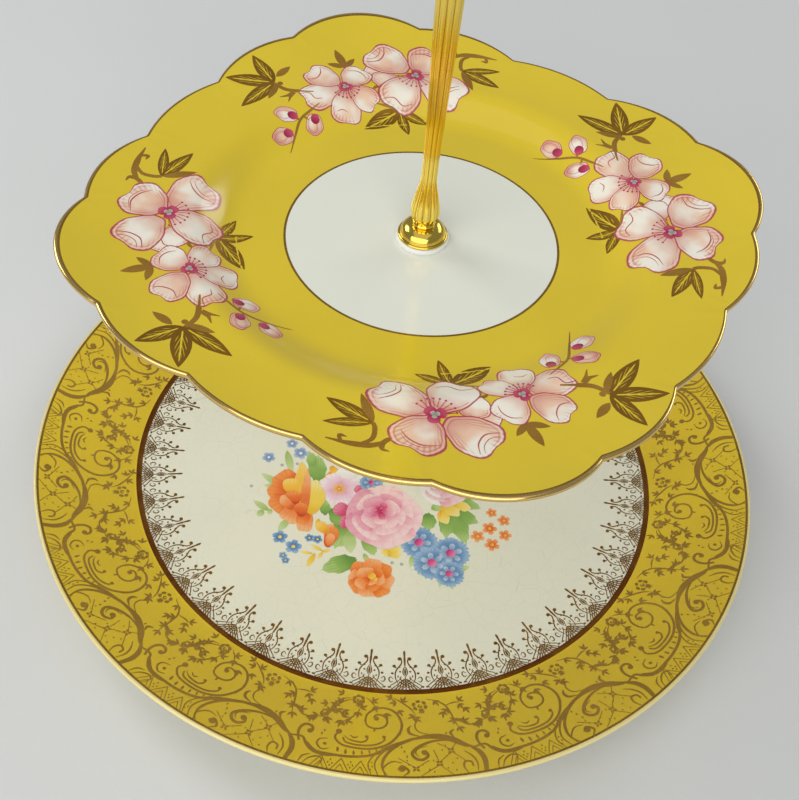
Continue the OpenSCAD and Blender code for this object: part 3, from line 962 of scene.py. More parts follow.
def lattice_lines():
    """One repeat of the fine triangles, dots and small crosses behind the scrolls."""
    lines = []
    for x in (-31.5, -25.8, -20.2):
        top = 131.0
        foot = 126.3
        lines.append([(x - 2.4, top, 0.10), (x, foot, 0.14)])
        lines.append([(x + 2.4, top, 0.10), (x, foot, 0.14)])
        lines.append([(x - 1.2, top, 0.08), (x, 128.6, 0.12)])
        lines.append([(x + 1.2, top, 0.08), (x, 128.6, 0.12)])
    for x, y in ((-28.7, 129.6), (-28.1, 128.7), (-29.3, 128.6), (-28.7, 127.4), (-23, 129.4),
                 (-22.4, 128.4),
                 (-23.6, 128.4), (-23, 127.2), (-17.4, 129.2), (-16.9, 128), (-18, 127.8), (-17.2, 126.4)):
        lines.append(dash(x, y, 0.75, 0.20))
    for x, y in ((2.2, 126.4), (6.4, 121.8), (-4.6, 128.2)):
        for k in range(4):
            a = math.radians(45 + 90 * k)
            lines.append([(x + 0.25 * math.cos(a), y + 0.25 * math.sin(a), 0.12),
                          (x + 0.75 * math.cos(a), y + 0.75 * math.sin(a), 0.34),
                          (x + 1.35 * math.cos(a), y + 1.35 * math.sin(a), 0.10)])
    for a, b in (((-3.4, 131), (2.2, 127)), ((5.4, 131), (2.2, 127)), ((2.2, 126), (6.4, 122.4)),
                 ((2.2, 126), (1.2, 121)), ((6.4, 121.3), (2.8, 118.4)), ((6.4, 121.3), (8.3, 119.2)),
                 ((6.4, 122), (9.8, 126.2)), ((-4.6, 128), (-0.6, 125)), ((-4.6, 128), (-9.4, 124.2))):
        lines.append([(a[0], a[1], 0.09), (b[0], b[1], 0.12)])
    for x, y in ((0.4, 129.6), (-0.9, 128.6), (4.4, 128.4), (6.6, 129.4), (6, 126.6), (7.6, 125),
                 (4.6, 123.8),
                 (3.8, 121.2), (1.8, 123.6), (5, 119.4), (-2.6, 126.6), (-6.6, 126.6), (-7, 125),
                 (0.6, 125.2)):
        lines.append(dash(x, y, 0.7, 0.19))
    return lines


def vine_lines():
    """One repeat of the leafy vines and the two small roses between the scrolls and the band."""
    lines = []
    lines.append(flow([(-24.6, 100.9), (-28.5, 102.6), (-31.2, 105.4), (-32.6, 108.4), (-34.6, 111),
                       (-37, 111.2)],
                      0.30, 4))
    lines.append(flow([(-22.6, 104.4), (-23.4, 107), (-25.6, 109.6), (-27.8, 111.4)], 0.28, 4))
    lines.append(flow([(-21, 99.8), (-18.6, 101.6), (-17.4, 103.4)], 0.26, 4))
    lines.append(flow([(-3, 106), (-4.4, 103.6), (-8, 100.6), (-11.4, 98.9)], 0.30, 4))
    lines.append(flow([(1.6, 99.6), (5.6, 100.8), (8.4, 103), (9.6, 106.4), (10.2, 110), (10.9, 113)], 0.30,
                      4))
    lines.append(flow([(8.4, 103), (11.8, 102.2), (14.2, 102.4)], 0.26, 4))
    lines.append(flow([(11.6, 110.2), (14.5, 112.2), (17.6, 112), (19.4, 110.6)], 0.28, 4))
    lines.append(flow([(22.4, 111), (22.9, 107.6), (23.6, 104.6), (26.2, 101.8), (29, 100.9)], 0.30, 4))
    for x, y, turn in ((-36.4, 110.9, 150), (-38.4, 111.6, 60), (-33.4, 110.8, 70), (-32.2, 107.6, -20),
                       (-31, 105, 195), (-29.4, 103.4, -140), (-28.2, 106.6, 40), (-27.6, 111.2, 120),
                       (-26.8, 110.6, 20), (-23, 106.4, 95), (-22.4, 104.6, -30), (-18.3, 101.4, -40),
                       (-17.4, 103.2, 70), (-13.2, 105.8, 80), (-8.8, 104.4, 60), (-9.6, 101, 170),
                       (-11.2, 99.2, 200), (-7.2, 100.8, -60), (-3.2, 107.6, 40), (-3.4, 106.6, 150),
                       (8.6, 104.6, 130), (7, 105.6, 100), (10.4, 109.6, 170), (11, 112.6, 75),
                       (13.4, 103.2, 60), (13.8, 101.8, -40), (15.2, 105, 70), (12.8, 110.6, -20),
                       (17.3, 111.8, 90), (19.8, 110.2, -20), (22.4, 111.2, 60), (22.8, 108, 180),
                       (23.3, 105.4, -10), (21.2, 105, 160), (25.2, 106.6, 40), (27.2, 111.4, 100),
                       (27.6, 109.6, -60), (4.8, 100.6, 60), (26, 99.8, 200)):
        lines += sprig(x, y, turn)
    for x, y, w, h in ((-1, 102.4, 3.3, 2.6), (-23.6, 101.2, 2.5, 2.3)):
        for k in range(6):
            a = math.radians(60 * k + 20)
            px, py = x + w * 0.62 * math.cos(a), y + h * 0.62 * math.sin(a)
            lines.append(flow([(px - 0.8 * math.sin(a), py + 0.8 * math.cos(a)),
                               (px + 0.25 * math.cos(a), py + 0.25 * math.sin(a)),
                               (px + 0.8 * math.sin(a), py - 0.8 * math.cos(a))], 0.62, 2, (0.5, 0.5)))
        lines.append(spiral(x, y, 0.9, 0.25, 0, 330, 0.34, 6))
        for turn in (100, 60, 140):
            lines += sprig(x + 0.5, y + h * 0.8, turn, 1.5, 0.22)
    for x in (10.2, 12.2, 11.2):
        lines.append(dash(x, 109.6 + 0.3 * (x - 11.2), 1.5, 0.62))
    return lines


class STAND_OT_scrolls(bpy.types.Operator):
    """Gilt scrolls, lattice and vines printed round the lower plate's rim"""
    bl_idname = "cake_stand.scrolls"
    bl_label = "Rim scrolls"

    def execute(self, context):
        count = context.scene.stand_sizes.scroll_repeats
        stretch = 13 / count
        for name, drawn, heavy in (("rim_scrolls", scroll_lines(), 1.18),
                                   ("rim_lattice", lattice_lines(), 1.35),
                                   ("rim_vines", vine_lines(), 1.05)):
            lines = []
            for k in range(count):
                centre = math.radians(-81 + 360 * k / count)
                for line in drawn:
                    lines.append([(p[0], p[1], p[2] * heavy) for p in wrapped(
                        [(u * stretch, r, w) for u, r, w in line], centre, 115)])
            piece(name, inlay(name, lines, lower_top), ["gilding"], "lower_tier", merge=False)
        return {"FINISHED"}


class STAND_OT_palmettes(bpy.types.Operator):
    """Gilt lace palmettes that point inwards from the lower plate's band"""
    bl_idname = "cake_stand.palmettes"
    bl_label = "Palmettes"

    def execute(self, context):
        count = context.scene.stand_sizes.palmettes
        shape = [
            [(0, 86.2, 0.22), (0, 84.6, 0.34), (0, 82.6, 0.30), (0, 81.2, 0.42), (0, 80.5, 0.2)],
            ball(0, 83.7, 0.42),
            flow([(0, 90.6), (0.75, 89), (0.5, 87.4), (0, 86.3)], 0.20, 3),
            flow([(0, 90.6), (-0.75, 89), (-0.5, 87.4), (0, 86.3)], 0.20, 3),
            [(0, 89.9, 0.15), (0, 88.6, 0.42), (0, 87.3, 0.15)],
            [(0, 95.6, 0.2), (0, 93, 0.16), (0, 90.4, 0.14)],
        ]
        for s in (-1, 1):
            shape += [
                ball(s * 1.75, 83.6, 0.72),
                flow([(s * 1.6, 83.2), (s * 1.05, 84.3), (s * 1.3, 85.6), (s * 2.5, 87.2), (s * 3.3, 89),
                      (s * 3.2, 91.2),
                      (s * 2.5, 93)], 0.24, 3, (0.8, 0.5)),
                ball(s * 3.7, 86.4, 0.6),
                flow([(s * 2.5, 87.2), (s * 3.4, 86.9), (s * 3.9, 86.3)], 0.2, 2),
                ball(s * 1.7, 88.5, 0.36),
                ball(s * 1.9, 86.7, 0.38),
                flow([(s * 3.9, 91.4), (s * 4.9, 90.6), (s * 5.4, 91.6), (s * 4.8, 92.6), (s * 4, 92.2)],
                     0.22, 3),
                ball(s * 4.3, 89.2, 0.46),
                dash(s * 2.4, 90.3, 0.9, 0.24),
                flow([(s * 4.4, 95.4), (s * 4.9, 94.2), (s * 3.8, 93.2), (s * 2.2, 91.8), (s * 1.2, 90.9)],
                     0.18, 3),
                [(s * 1.1, 95.6, 0.17), (s * 0.6, 91.6, 0.13)],
                [(s * 2.1, 95.6, 0.17), (s * 1.1, 91.8, 0.13)],
                [(s * 3.1, 95.6, 0.17), (s * 1.9, 92.4, 0.13)],
                [(s * 4.6, 95.6, 0.17), (s * 0.2, 91.3, 0.14)],
                [(s * 3.6, 95.6, 0.17), (s * -0.6, 91.6, 0.14)],
                [(s * 2.6, 95.6, 0.17), (s * -1.4, 91.9, 0.14)],
                [(s * 1.6, 95.6, 0.17), (s * -2.0, 92.3, 0.14)],
                flow([(s * 0.3, 91.2), (s * 1.3, 91.9), (s * 1.8, 90.9), (s * 1.2, 90.3)], 0.2, 2),
                ball(s * 0.95, 94.2, 0.3),
                ball(s * 5.3, 94.6, 0.42),
            ]
        lines = []
        for k in range(count):
            centre = math.radians(-79.5 + 360 * k / count)
            lines += [wrapped([(u, r, w * 1.02) for u, r, w in line], centre, 88) for line in shape]
        piece("palmettes", inlay("palmettes", lines, lower_top), ["palmette_gold"], "lower_tier",
              merge=False)
        return {"FINISHED"}


# ---------------------------------------------------------------- enamel flowers

class STAND_OT_bouquet(bpy.types.Operator):
    """Painted bouquet in the lower plate's cream centre"""
    bl_idname = "cake_stand.bouquet"
    bl_label = "Bouquet"

    def execute(self, context):
        for name, maker in (("bouquet_leaves", self.leaves), ("bouquet_cornflowers", self.cornflowers),
                            ("bouquet_poppies", self.poppies), ("bouquet_roses", self.roses),
                            ("bouquet_small_flowers", self.small)):
            paint = Enamel(lower_top, 24, 6)
            maker(paint)
            piece(name, paint.bm, paint.finishes, "lower_tier", merge=False)
        return {"FINISHED"}

    def leaves(self, e):
        """Green leaves behind the flowers."""
        e.layer = 0.03
        for x0, y0, x1, y1, w in ((-1, -30, 2, -45, 9), (8, -34, 15.5, -39.5, 5.5), (-9, -31, 1, -36, 6),
                                  (11, -44.5, 3.5, -55.5, 7.5), (22, -12, 26, -19, 6),
                                  (28, -5, 40.5, -16, 7),
                                  (28, -8, 33, -18, 6), (30, -6, 39.5, -5.5, 6), (27, -1, 37, 1, 5),
                                  (-20, -24, -27, -13, 7), (-22, -20, -31, -13.5, 5), (-9, -35, -13, -29, 4),
                                  (0, 22, -6, 33, 8), (12, 20, 20, 30, 8), (-24, 6, -35, 12, 7),
                                  (26, 10, 37, 17, 7),
                                  (-14, 20, -24, 28, 7)):
            e.leaf("leaf_green", x0, y0, x1, y1, w, wave=0.07, waves=9)
        e.layer = 0.045
        for x0, y0, x1, y1, w in ((2, -36, 8, -43.5, 5), (-38, -18, -30, -26, 3),
                                  (-30, -33, -39.5, -32.5, 3),
                                  (-29, -33, -35.5, -36.5, 3), (-27, -45, -34.5, -44.5, 2.6),
                                  (-29, -46, -29, -49.5, 2.8),
                                  (-27, -44, -26, -46.5, 2), (-19, -44, -19, -50.5, 3),
                                  (27, -31, 29, -36.5, 2.2),
                                  (40, -31, 42, -38, 2.5), (43.5, -28, 46.5, -24, 2.4),
                                  (43, -33, 46.5, -36, 2.2),
                                  (12, -41, 15.5, -43.5, 2), (38.5, -34, 33, -37.5, 1.6),
                                  (22, -10, 25, -5, 4)):
            e.leaf("leaf_light", x0, y0, x1, y1, w)

    def cornflowers(self, e):
        """Blue flowers with a magenta eye."""
        e.layer = 0.06
        for k, (x, y, r) in enumerate(((26, -25.5, 7), (38, -23, 7), (34.5, -30.5, 7), (42, -31, 5.5),
                                       (-28, -2, 6.5),
                                       (-34, 3, 6), (-3, -12.5, 4.5), (20, 16, 6))):
            e.layer = 0.06 + 0.012 * k
            e.rosette("cornflower", x, y, r, 7, r * 0.75, 17 * k, wave=0.16, waves=11, taper=0.5)
            e.rosette("forget_me_not", x, y, r * 0.62, 6, r * 0.3, 30 + 20 * k, wave=0.1, waves=9,
                      lift=e.layer + 0.02)
            e.dot("magenta", x, y, r * 0.25, lift=e.layer + 0.035)

    def poppies(self, e):
        """Orange flowers on the left and below."""
        e.layer = 0.07
        for x0, y0, x1, y1, w, look in (
                (-24, -31, -34.5, -29, 10, "poppy"), (-24, -33, -33, -37.5, 9, "poppy"),
                (-23, -35, -27.5, -43.5, 9, "poppy"), (-20, -36, -18.5, -45.5, 8.5, "poppy_light"),
                (-17, -36, -11, -45.5, 6, "poppy_light"), (-16, -37, -14, -43.5, 5, "poppy")):
            e.petal(look, x0, y0, x1, y1, w, wave=0.06)
            e.layer += 0.012
        e.petal("amber", -17, -40, -30, -19, 6.5, point=0.25, taper=-0.25, wave=0.05)
        e.layer += 0.012
        e.petal("buttercup", -14, -38, -21, -23.5, 9.5, point=0.15, taper=-0.1, wave=0.05)
        e.layer += 0.012
        e.petal("poppy_light", -15, -40, -26.5, -20.5, 3.6, point=0.3, taper=-0.2)
        e.petal("amber", -24, -34, -29.5, -28.5, 6)
        e.layer += 0.012
        e.petal("poppy", -21, -38, -25, -32.5, 6.5, wave=0.05)
        e.petal("poppy_light", -20, -39.5, -27, -36.5, 5, wave=0.05)
        e.layer += 0.012
        e.petal("poppy", -15.5, -40.5, -19.5, -35.5, 5)
        # the bud beside it
        for x0, y0, x1, y1, w, look in ((-1, -42, -6, -38, 5, "poppy_light"),
                                        (-0.5, -46.5, -3, -37.5, 5, "poppy"),
                                        (0, -46, -2.5, -40.5, 3.2, "poppy_light"),
                                        (-3, -41, -9.5, -39.5, 4, "amber")):
            e.petal(look, x0, y0, x1, y1, w)
            e.layer += 0.01
        # the orange flower below
        e.layer = 0.07
        for x0, y0, x1, y1, w, look in (
                (18, -50, 11.8, -45.6, 6.4, "poppy"), (18, -50, 12.8, -52.4, 6.2, "poppy_light"),
                (19, -50, 16.6, -56.4, 7, "poppy"),
                (20, -50, 22.6, -56, 7, "poppy_light"), (21, -49, 28.0, -51.4, 6.6, "poppy"),
                (21, -48, 27.4, -45.0, 6.4, "poppy_light"),
                (20, -48, 22.8, -40.4, 6.4, "poppy"), (19, -48, 16.4, -40.8, 6.6, "poppy_light"),
                (19.4, -49, 14.4, -47.6, 5, "poppy_light"), (19.4, -49.4, 17.2, -54.2, 5, "poppy_light"),
                (19.8, -49.2, 23.8, -52.2, 5.2, "poppy"), (19.8, -48.4, 24.4, -46.4, 5, "poppy_light"),
                (19.4, -48.2, 20.4, -43.2, 5, "poppy"), (19.2, -48.6, 16.6, -45.2, 3.6, "poppy_light"),
                (19.6, -48.8, 22.0, -50.4, 3.6, "poppy_light"), (19.4, -49, 18.2, -51.8, 3.4, "poppy")):
            e.petal(look, x0, y0, x1, y1, w, wave=0.07)
            e.layer += 0.007
        e.dot("amber", 19.6, -47.6, 1.5)
        e.dot("amber", 21.2, -48.0, 0.9)

    def roses(self, e):
        """The pink rose, its pale neighbours and its buds."""
        e.layer = 0.06
        # the open pale flower on the left
        e.rosette("lilac", -11.5, -21.5, 7.6, 6, 7.6, 20, wave=0.05)
        e.petal("petal_white", -10, -18, -15.5, -12, 7)
        e.petal("petal_white", -6.5, -18, -5, -11.5, 7)
        e.layer += 0.02
        e.rosette("amber", -11.5, -21.8, 2.6, 7, 1.0, 0)
        # the second rose, mostly under the upper tier
        e.layer = 0.07
        self.rose(e, 20, 2, 9.5, "petal_white", "rose_pale", "rose_deep", 30)
        self.rose(e, -8, 9, 11, "buttercup", "amber", "poppy", 80)
        e.layer = 0.10
        for x0, y0, x1, y1, w in ((-2, -18, -7, -17.5, 4), (-1, -29, -8.5, -29.5, 6), (0, -25, -4, -23, 7),
                                  (2, -32, -3, -34, 6)):
            e.petal("rose_deep", x0, y0, x1, y1, w)
            e.layer += 0.01
        self.rose(e, 8.5, -22.8, 14.2, "rose_pink", "rose_pale", "rose_deep", 15)

    def rose(self, e, x, y, r, outer, middle, heart, turn):
        """A rose: each ring of broad petals lies over the one outside it, about an off-centre heart."""
        for share, count, wide, looks, spin in ((1.0, 6, 1.20, (outer, outer, middle), 0),
                                                (0.84, 5, 1.15, (outer, middle), 31),
                                                (0.68, 5, 1.0, (outer, outer, middle), 8),
                                                (0.54, 4, 0.95, (middle, outer), 52),
                                                (0.42, 4, 0.78, (outer,), 20),
                                                (0.30, 3, 0.62, (heart, outer), 66),
                                                (0.20, 3, 0.42, (heart,), 12),
                                                (0.11, 2, 0.22, (outer,), 40)):
            cx, cy = x - r * 0.20 * (1 - share), y + r * 0.10 * (1 - share)
            for k in range(count):
                jog = math.sin(5.3 * k + 7 * share)
                a = math.radians(turn + spin + 360 * k / count + 9 * jog)
                ring = r * share * (1 + 0.05 * jog)
                lit = middle if math.cos(a) > 0.25 and share > 0.35 else looks[k % len(looks)]
                e.petal(lit, cx + ring * 0.05 * math.cos(a), cy + ring * 0.05 * math.sin(a),
                        cx + ring * math.cos(a), cy + ring * math.sin(a), ring * wide, wave=0.045,
                        waves=3 + k % 3, bend=0.05 * jog)
                e.layer += 0.004
            e.layer += 0.005

    def small(self, e):
        """Small blue and orange flowers, yellow petals and dots."""
        e.layer = 0.05
        for x, y, r in ((-17, -52.3, 2.9), (-10.6, -53, 3.1), (-8, -46.6, 1.8), (-5.2, -45.4, 1.9),
                        (-11.5, -58.2, 1.6),
                        (-9.5, -59.4, 1.6), (-33, -16, 3), (-41.8, -24.6, 2.6), (-38.4, -14, 2.4),
                        (-30, -9, 2.6)):
            faint = x < -29
            e.rosette("forget_me_not" if faint else "cornflower", x, y, r, 5, r * 0.74, 10 * x, wave=0.06,
                      taper=0.2)
            e.dot("buttercup" if not faint else "petal_white", x, y, r * 0.24, lift=e.layer + 0.02)
        for x, y, r in ((44.3, -5.2, 3.2), (42.4, -10.8, 3), (48.6, -11, 3.2), (50.6, -4.6, 2.8),
                        (47, 1, 2.8),
                        (41.5, 1.5, 2.4)):
            e.rosette("poppy_light", x, y, r * 0.92, 5, r * 0.60, 12 * x, wave=0.06, taper=0.2)
            e.dot("amber", x, y, r * 0.22, lift=e.layer + 0.02)
        for x0, y0, x1, y1, w in ((-1, -48.5, -6, -48.8, 1.6), (-1, -49, 1.5, -46.5, 1.4),
                                  (-2.5, -51, -1.6, -57.6, 2.2),
                                  (-3, -51.5, -7.5, -53.5, 1.2), (-0.5, -49, -0.5, -52.5, 1.4),
                                  (-10, -37.5, -8, -42, 2)):
            e.leaf("buttercup", x0, y0, x1, y1, w)
        for x0, y0, x1, y1, w in ((19, -36.5, 23.5, -34, 3), (19, -36, 22, -31.5, 2.6),
                                  (19, -34.5, 17.5, -37.5, 2.6),
                                  (24, -6.5, 32, -6, 4.5), (25, -8, 30, -12.5, 4), (27, -3, 34, -1.5, 4),
                                  (-18, -16, -17, -23, 3.5), (-20, -14.5, -15.5, -17, 3.5)):
            e.petal("buttercup" if x0 > 10 else "amber", x0, y0, x1, y1, w, wave=0.08)
        e.leaf("amber", 25.5, -8, 27, -13, 2.4)
        for x, y in ((-35.4, -24.8), (22.6, -38.6), (25.8, -37.2), (-39, -39.5), (-31, -21)):
            e.dot("grey_line", x, y, 0.7)


class STAND_OT_sprays(bpy.types.Operator):
    """Four sprays of blossom with gilt leaves round the upper plate's rim"""
    bl_idname = "cake_stand.sprays"
    bl_label = "Blossom sprays"

    def execute(self, context):
        leaves, blossoms, small = Enamel(upper_top, 26, 10), Enamel(upper_top, 44, 16), Enamel(upper_top,
                36, 14)
        self.gilt_leaves(leaves)
        self.large(blossoms)
        self.medium(small)
        self.buds(small)
        stems = inlay("stems", self.stems(), upper_top)
        folds = inlay("folds", self.folds(), upper_top, 0.10)
        for k in range(4):
            turn = k * math.pi / 2
            for name, source, looks in (("spray_leaves", leaves, leaves.finishes),
                                        ("large_blossom", blossoms, blossoms.finishes),
                                        ("small_blossom", small, small.finishes)):
                piece("%s_%d" % (name, k + 1), source.copy_round(turn), looks, "upper_tier",
                      merge=False)
            twin = stems.copy()
            bmesh.ops.rotate(twin, cent=(0, 0, 0), matrix=Matrix.Rotation(turn, 3, "Z"), verts=twin.verts)
            piece("spray_stems_%d" % (k + 1), twin, ["leaf_gilt"], "upper_tier", merge=False)
            twin = folds.copy()
            bmesh.ops.rotate(twin, cent=(0, 0, 0), matrix=Matrix.Rotation(turn, 3, "Z"), verts=twin.verts)
            piece("petal_folds_%d" % (k + 1), twin, ["fold_crimson"], "upper_tier",
                  merge=False)
        for source in (leaves.bm, blossoms.bm, small.bm, stems, folds):
            source.free()
        return {"FINISHED"}

    def stems(self):
        """Twigs as lines of (x, y, half width) points."""
        return [
            flow([(31, 79), (31, 74), (33.5, 69.5), (36, 66)], 0.85, 4, (0.8, 0.7)),
            [(31, 71.2, 0.8), (28.5, 71.6, 0.6), (26.3, 73.2, 0.15)],
            [(31.4, 71, 0.8), (28.6, 70.5, 0.5), (26.1, 69.5, 0.12)],
            flow([(33, 61.5), (28, 62.2), (23, 62.5), (17, 60.3), (9.5, 57)], 0.42, 4, (0.8, 0.3)),
            [(23, 62.5, 0.35), (22, 65, 0.35)], [(25, 62.2, 0.35), (25.6, 60, 0.35)],
            flow([(50.5, 51), (52, 50.6), (53.5, 49.5)], 0.6, 3),
            flow([(79.5, 39), (81, 37.6), (83.2, 37.2), (84.9, 38.2), (84.6, 40.2)], 0.8, 4, (0.8, 0.2)),
            flow([(82.4, 37.5), (85.2, 35.4), (86.8, 33), (88.6, 29), (90.2, 23.8)], 1.0, 4, (0.7, 0.2)),
            flow([(89.2, 28.2), (87.2, 26.2), (86.6, 28.2)], 0.6, 3, (0.7, 0.2)),
            flow([(86.5, 32.6), (83.2, 34), (79.6, 32.6), (78, 31)], 0.7, 4, (0.7, 0.9)),
            flow([(47, 47), (49, 43), (50, 39.5)], 0.5, 3),
            [(50, 63, 0.5), (54.3, 65, 0.5)],
        ]

    def folds(self):
        """Crimson lines that turn the petals' edges over."""
        return [
            flow([(61.6, 60.6), (64.5, 57.8), (68.5, 58), (71.6, 60.2)], 0.22, 4),
            flow([(62.6, 61.6), (65, 59.6), (68.2, 59.6), (70.6, 61.2)], 0.12, 4),
            flow([(74.6, 50.2), (77.4, 46.4), (77.6, 42), (76, 38.4)], 0.24, 4),
            flow([(75.8, 49.4), (78.4, 46), (78.6, 42), (77.2, 39.2)], 0.12, 4),
            flow([(49.6, 46.4), (52.4, 43.4), (52, 39.4), (54.6, 37)], 0.18, 4),
            flow([(59.6, 28.6), (63, 30.4), (66.6, 29.6), (69.6, 27.4)], 0.22, 4),
            flow([(60.6, 27.6), (63.4, 29), (66.4, 28.2), (68.6, 26.4)], 0.12, 4),
            flow([(40.2, 71.2), (43, 69.4), (46.2, 70), (48.4, 71.8)], 0.18, 4),
            flow([(53, 63.2), (54.8, 60.6), (54.6, 57.6), (53, 55.4)], 0.18, 4),
            flow([(31.8, 69), (34.4, 66.8), (33.6, 63.8), (35.4, 61.8)], 0.16, 4),
            flow([(35, 55.6), (37, 54.6), (37.6, 52.6)], 0.14, 4),
        ]

    def gilt_leaves(self, e):
        """Gilt leaves at the twigs."""
        e.layer = 0.035
        for x0, y0, x1, y1, w in ((31.5, 79.3, 14, 80.2, 5.5), (31.5, 79.3, 22.3, 93, 6),
                                  (31.5, 79.3, 37.5, 92.8, 5.5),
                                  (50, 39.5, 36, 44.7, 6.5), (78, 31, 77.5, 15.8, 4.8)):
            e.leaf("veined_leaf", x0, y0, x1, y1, w, taper=-0.25)
        for x0, y0, x1, y1, w in ((34.5, 80.5, 41.8, 80, 2.8), (31.5, 78, 23.2, 75.7, 2.6),
                                  (54.3, 65, 51.7, 70.9, 2.4),
                                  (54.3, 65, 59.4, 72.9, 3.1), (54.3, 65, 60, 65, 2.3),
                                  (50, 39.5, 42.6, 31, 3.7),
                                  (50, 39.5, 51, 28, 3.6), (78, 31, 70.8, 22.6, 2.9),
                                  (78, 31, 85.4, 19.8, 3.4)):
            e.leaf("veined_leaf" if w > 3.2 else "leaf_gilt", x0, y0, x1, y1, w, taper=-0.2)
        e.dot("leaf_gilt", 32.4, 77.4, 1.0)

    def heart(self, e, x, y, turn, r):
        """The crimson middle of a blossom, with its stamens."""
        e.layer += 0.014
        e.rosette("crimson", x, y, r * 1.15, 3, r * 1.25, turn, start=-0.1)
        e.layer += 0.012
        e.rosette("sage", x, y, r * 0.5, 3, r * 0.5, turn, start=-0.1)
        for k in range(9):
            a = math.radians(turn + 110 + 17 * k)
            e.lens("crimson", x + r * 1.5 * math.cos(a), y + r * 1.5 * math.sin(a), r * 1.15, 0.22,
                   math.degrees(a), around=8, rings=4)
            e.dot("crimson", x + r * 2.1 * math.cos(a), y + r * 2.1 * math.sin(a), 0.36, lift=e.layer + 0.01)

    def large(self, e):
        """The large blossom."""
        e.layer = 0.05
        x, y = 65.7, 43
        look = "blossom"
        e.petal(look, 60.5, 49.5, 58.2, 59.5, 9.5, wave=0.03, waves=7)
        e.layer += 0.012
        e.petal(look, 61, 47.5, 53.8, 53.5, 8.5, wave=0.03, waves=7)
        e.layer += 0.012
        e.petal(look, x + 0.3, y + 3, 66.8, 64.3, 14.5, wave=0.022, waves=7, notch=0.10)
        e.layer += 0.012
        e.petal(look, x - 1, y, 47.6, 42, 14.5, wave=0.022, waves=7, notch=0.11)
        e.layer += 0.012
        e.petal(look, x + 1, y - 1, 64.6, 22.2, 15, wave=0.022, waves=7, notch=0.10)
        e.layer += 0.012
        e.petal(look, x + 1, y, 82, 43.8, 16, wave=0.022, waves=7, notch=0.11)
        e.layer += 0.012
        self.heart(e, x, y, 20, 2.9)

    def medium(self, e):
        """The smaller blossom."""
        e.layer = 0.05
        x, y = 45.2, 59
        look = "blossom"
        for x0, y0, x1, y1, w in ((44, 60, 29.5, 66.8, 11.5), (45, 61, 44.2, 75, 11),
                                  (44, 58, 33, 50.2, 10.5),
                                  (45.6, 58, 46.2, 45.8, 9), (46, 59.2, 57.6, 59.4, 11)):
            e.petal(look, x0, y0, x1, y1, w, wave=0.022, waves=7, notch=0.10)
            e.layer += 0.012
        self.heart(e, x, y, 60, 2.3)

    def buds(self, e):
        """Three closed buds."""
        for x, y, turn, dx, dy in ((13.5, 62.7, -15, 15.9, 62.3), (21, 67, -50, 22.3, 65.1),
                                   (25.4, 58.2, 30, 27.3, 59.3)):
            e.layer = 0.05
            e.lens("blossom", x, y, 8.2, 6, turn, wave=0.04)
            e.layer = 0.065
            e.lens("blossom", x - 0.6, y + 0.3, 5.6, 3.4, turn + 12)
            e.lens("crimson", dx, dy, 3.6, 3.0, turn, lift=0.08)


# ---------------------------------------------------------------- column and fittings

def stem_radius(h, length):
    """Radius of a stem at a height above its foot."""
    if h < 3.2:
        return ease(3.5, 4.6, h / 3.2)
    if h < 18:
        return ease(4.6, 2.45, (h - 3.2) / 14.8)
    swell = length * 0.78
    if h < swell:
        return ease(2.45, 4.05, (h - 18) / (swell - 18))
    return ease(4.05, 2.75, (h - swell) / (length - swell))


class STAND_OT_stems(bpy.types.Operator):
    """Fluted gold stems, bored for their studs at both ends"""
    bl_idname = "cake_stand.stems"
    bl_label = "Fluted stems"

    def execute(self, context):
        lower_foot, lower_head = foot_of("lower_stem"), top_of("lower_stem")
        self.stem(context, "lower_stem_fluted", lower_foot, lower_head - lower_foot, 10.8, 10.0, 2.05, False,
                  "column", "lower_stem")
        spigot = foot_of("upper_stem")
        upper_foot = top_of("upper_neck")
        self.stem(context, "upper_stem_fluted", upper_foot, top_of("upper_stem") - upper_foot, 10.8, 7.0,
                  1.55,
                  spigot - upper_foot, "handle", "upper_stem")
        return {"FINISHED"}

    def stem(self, context, name, foot, length, bore_up, bore_down, head_bore, spigot, body, node):
        sizes = context.scene.stand_sizes
        heights = [0, 0.25] + [0.5 * i for i in range(1, 40)] + \
                  [20 + (length - 20.6) * i / 34 for i in range(1, 35)] + [length - 0.3, length]
        outer = [(stem_radius(h, length), h) for h in heights]
        start = [(0, bore_up), (2.05, bore_up)]
        if spigot:
            start += [(2.05, spigot), (2.5, spigot), (2.5, 0)]
        else:
            start += [(2.05, 0)]
        end = [(head_bore, length), (head_bore, length - bore_down), (0, length - bore_down)]
        bm = turned(start + outer + end, sizes.flutes * 16, closed=False)
        for v in bm.verts:
            r = math.hypot(v.co.x, v.co.y)
            h = v.co.z
            if -0.01 < h < length + 0.01 and abs(r - stem_radius(h, length)) < 1e-3 and r > 2.2:
                fade = ease(0, 1, h / 2) * ease(0, 1, (length - h) / 2)
                curve = abs(math.sin(sizes.flutes * math.atan2(v.co.y, v.co.x) / 2))
                share = 1 - sizes.flute_depth * fade * (1 - curve)
                v.co.x *= share
                v.co.y *= share
        bmesh.ops.translate(bm, vec=(0, 0, foot), verts=bm.verts)
        piece(name, bm, ["fluted_gold"], body, [node], sharp=70)


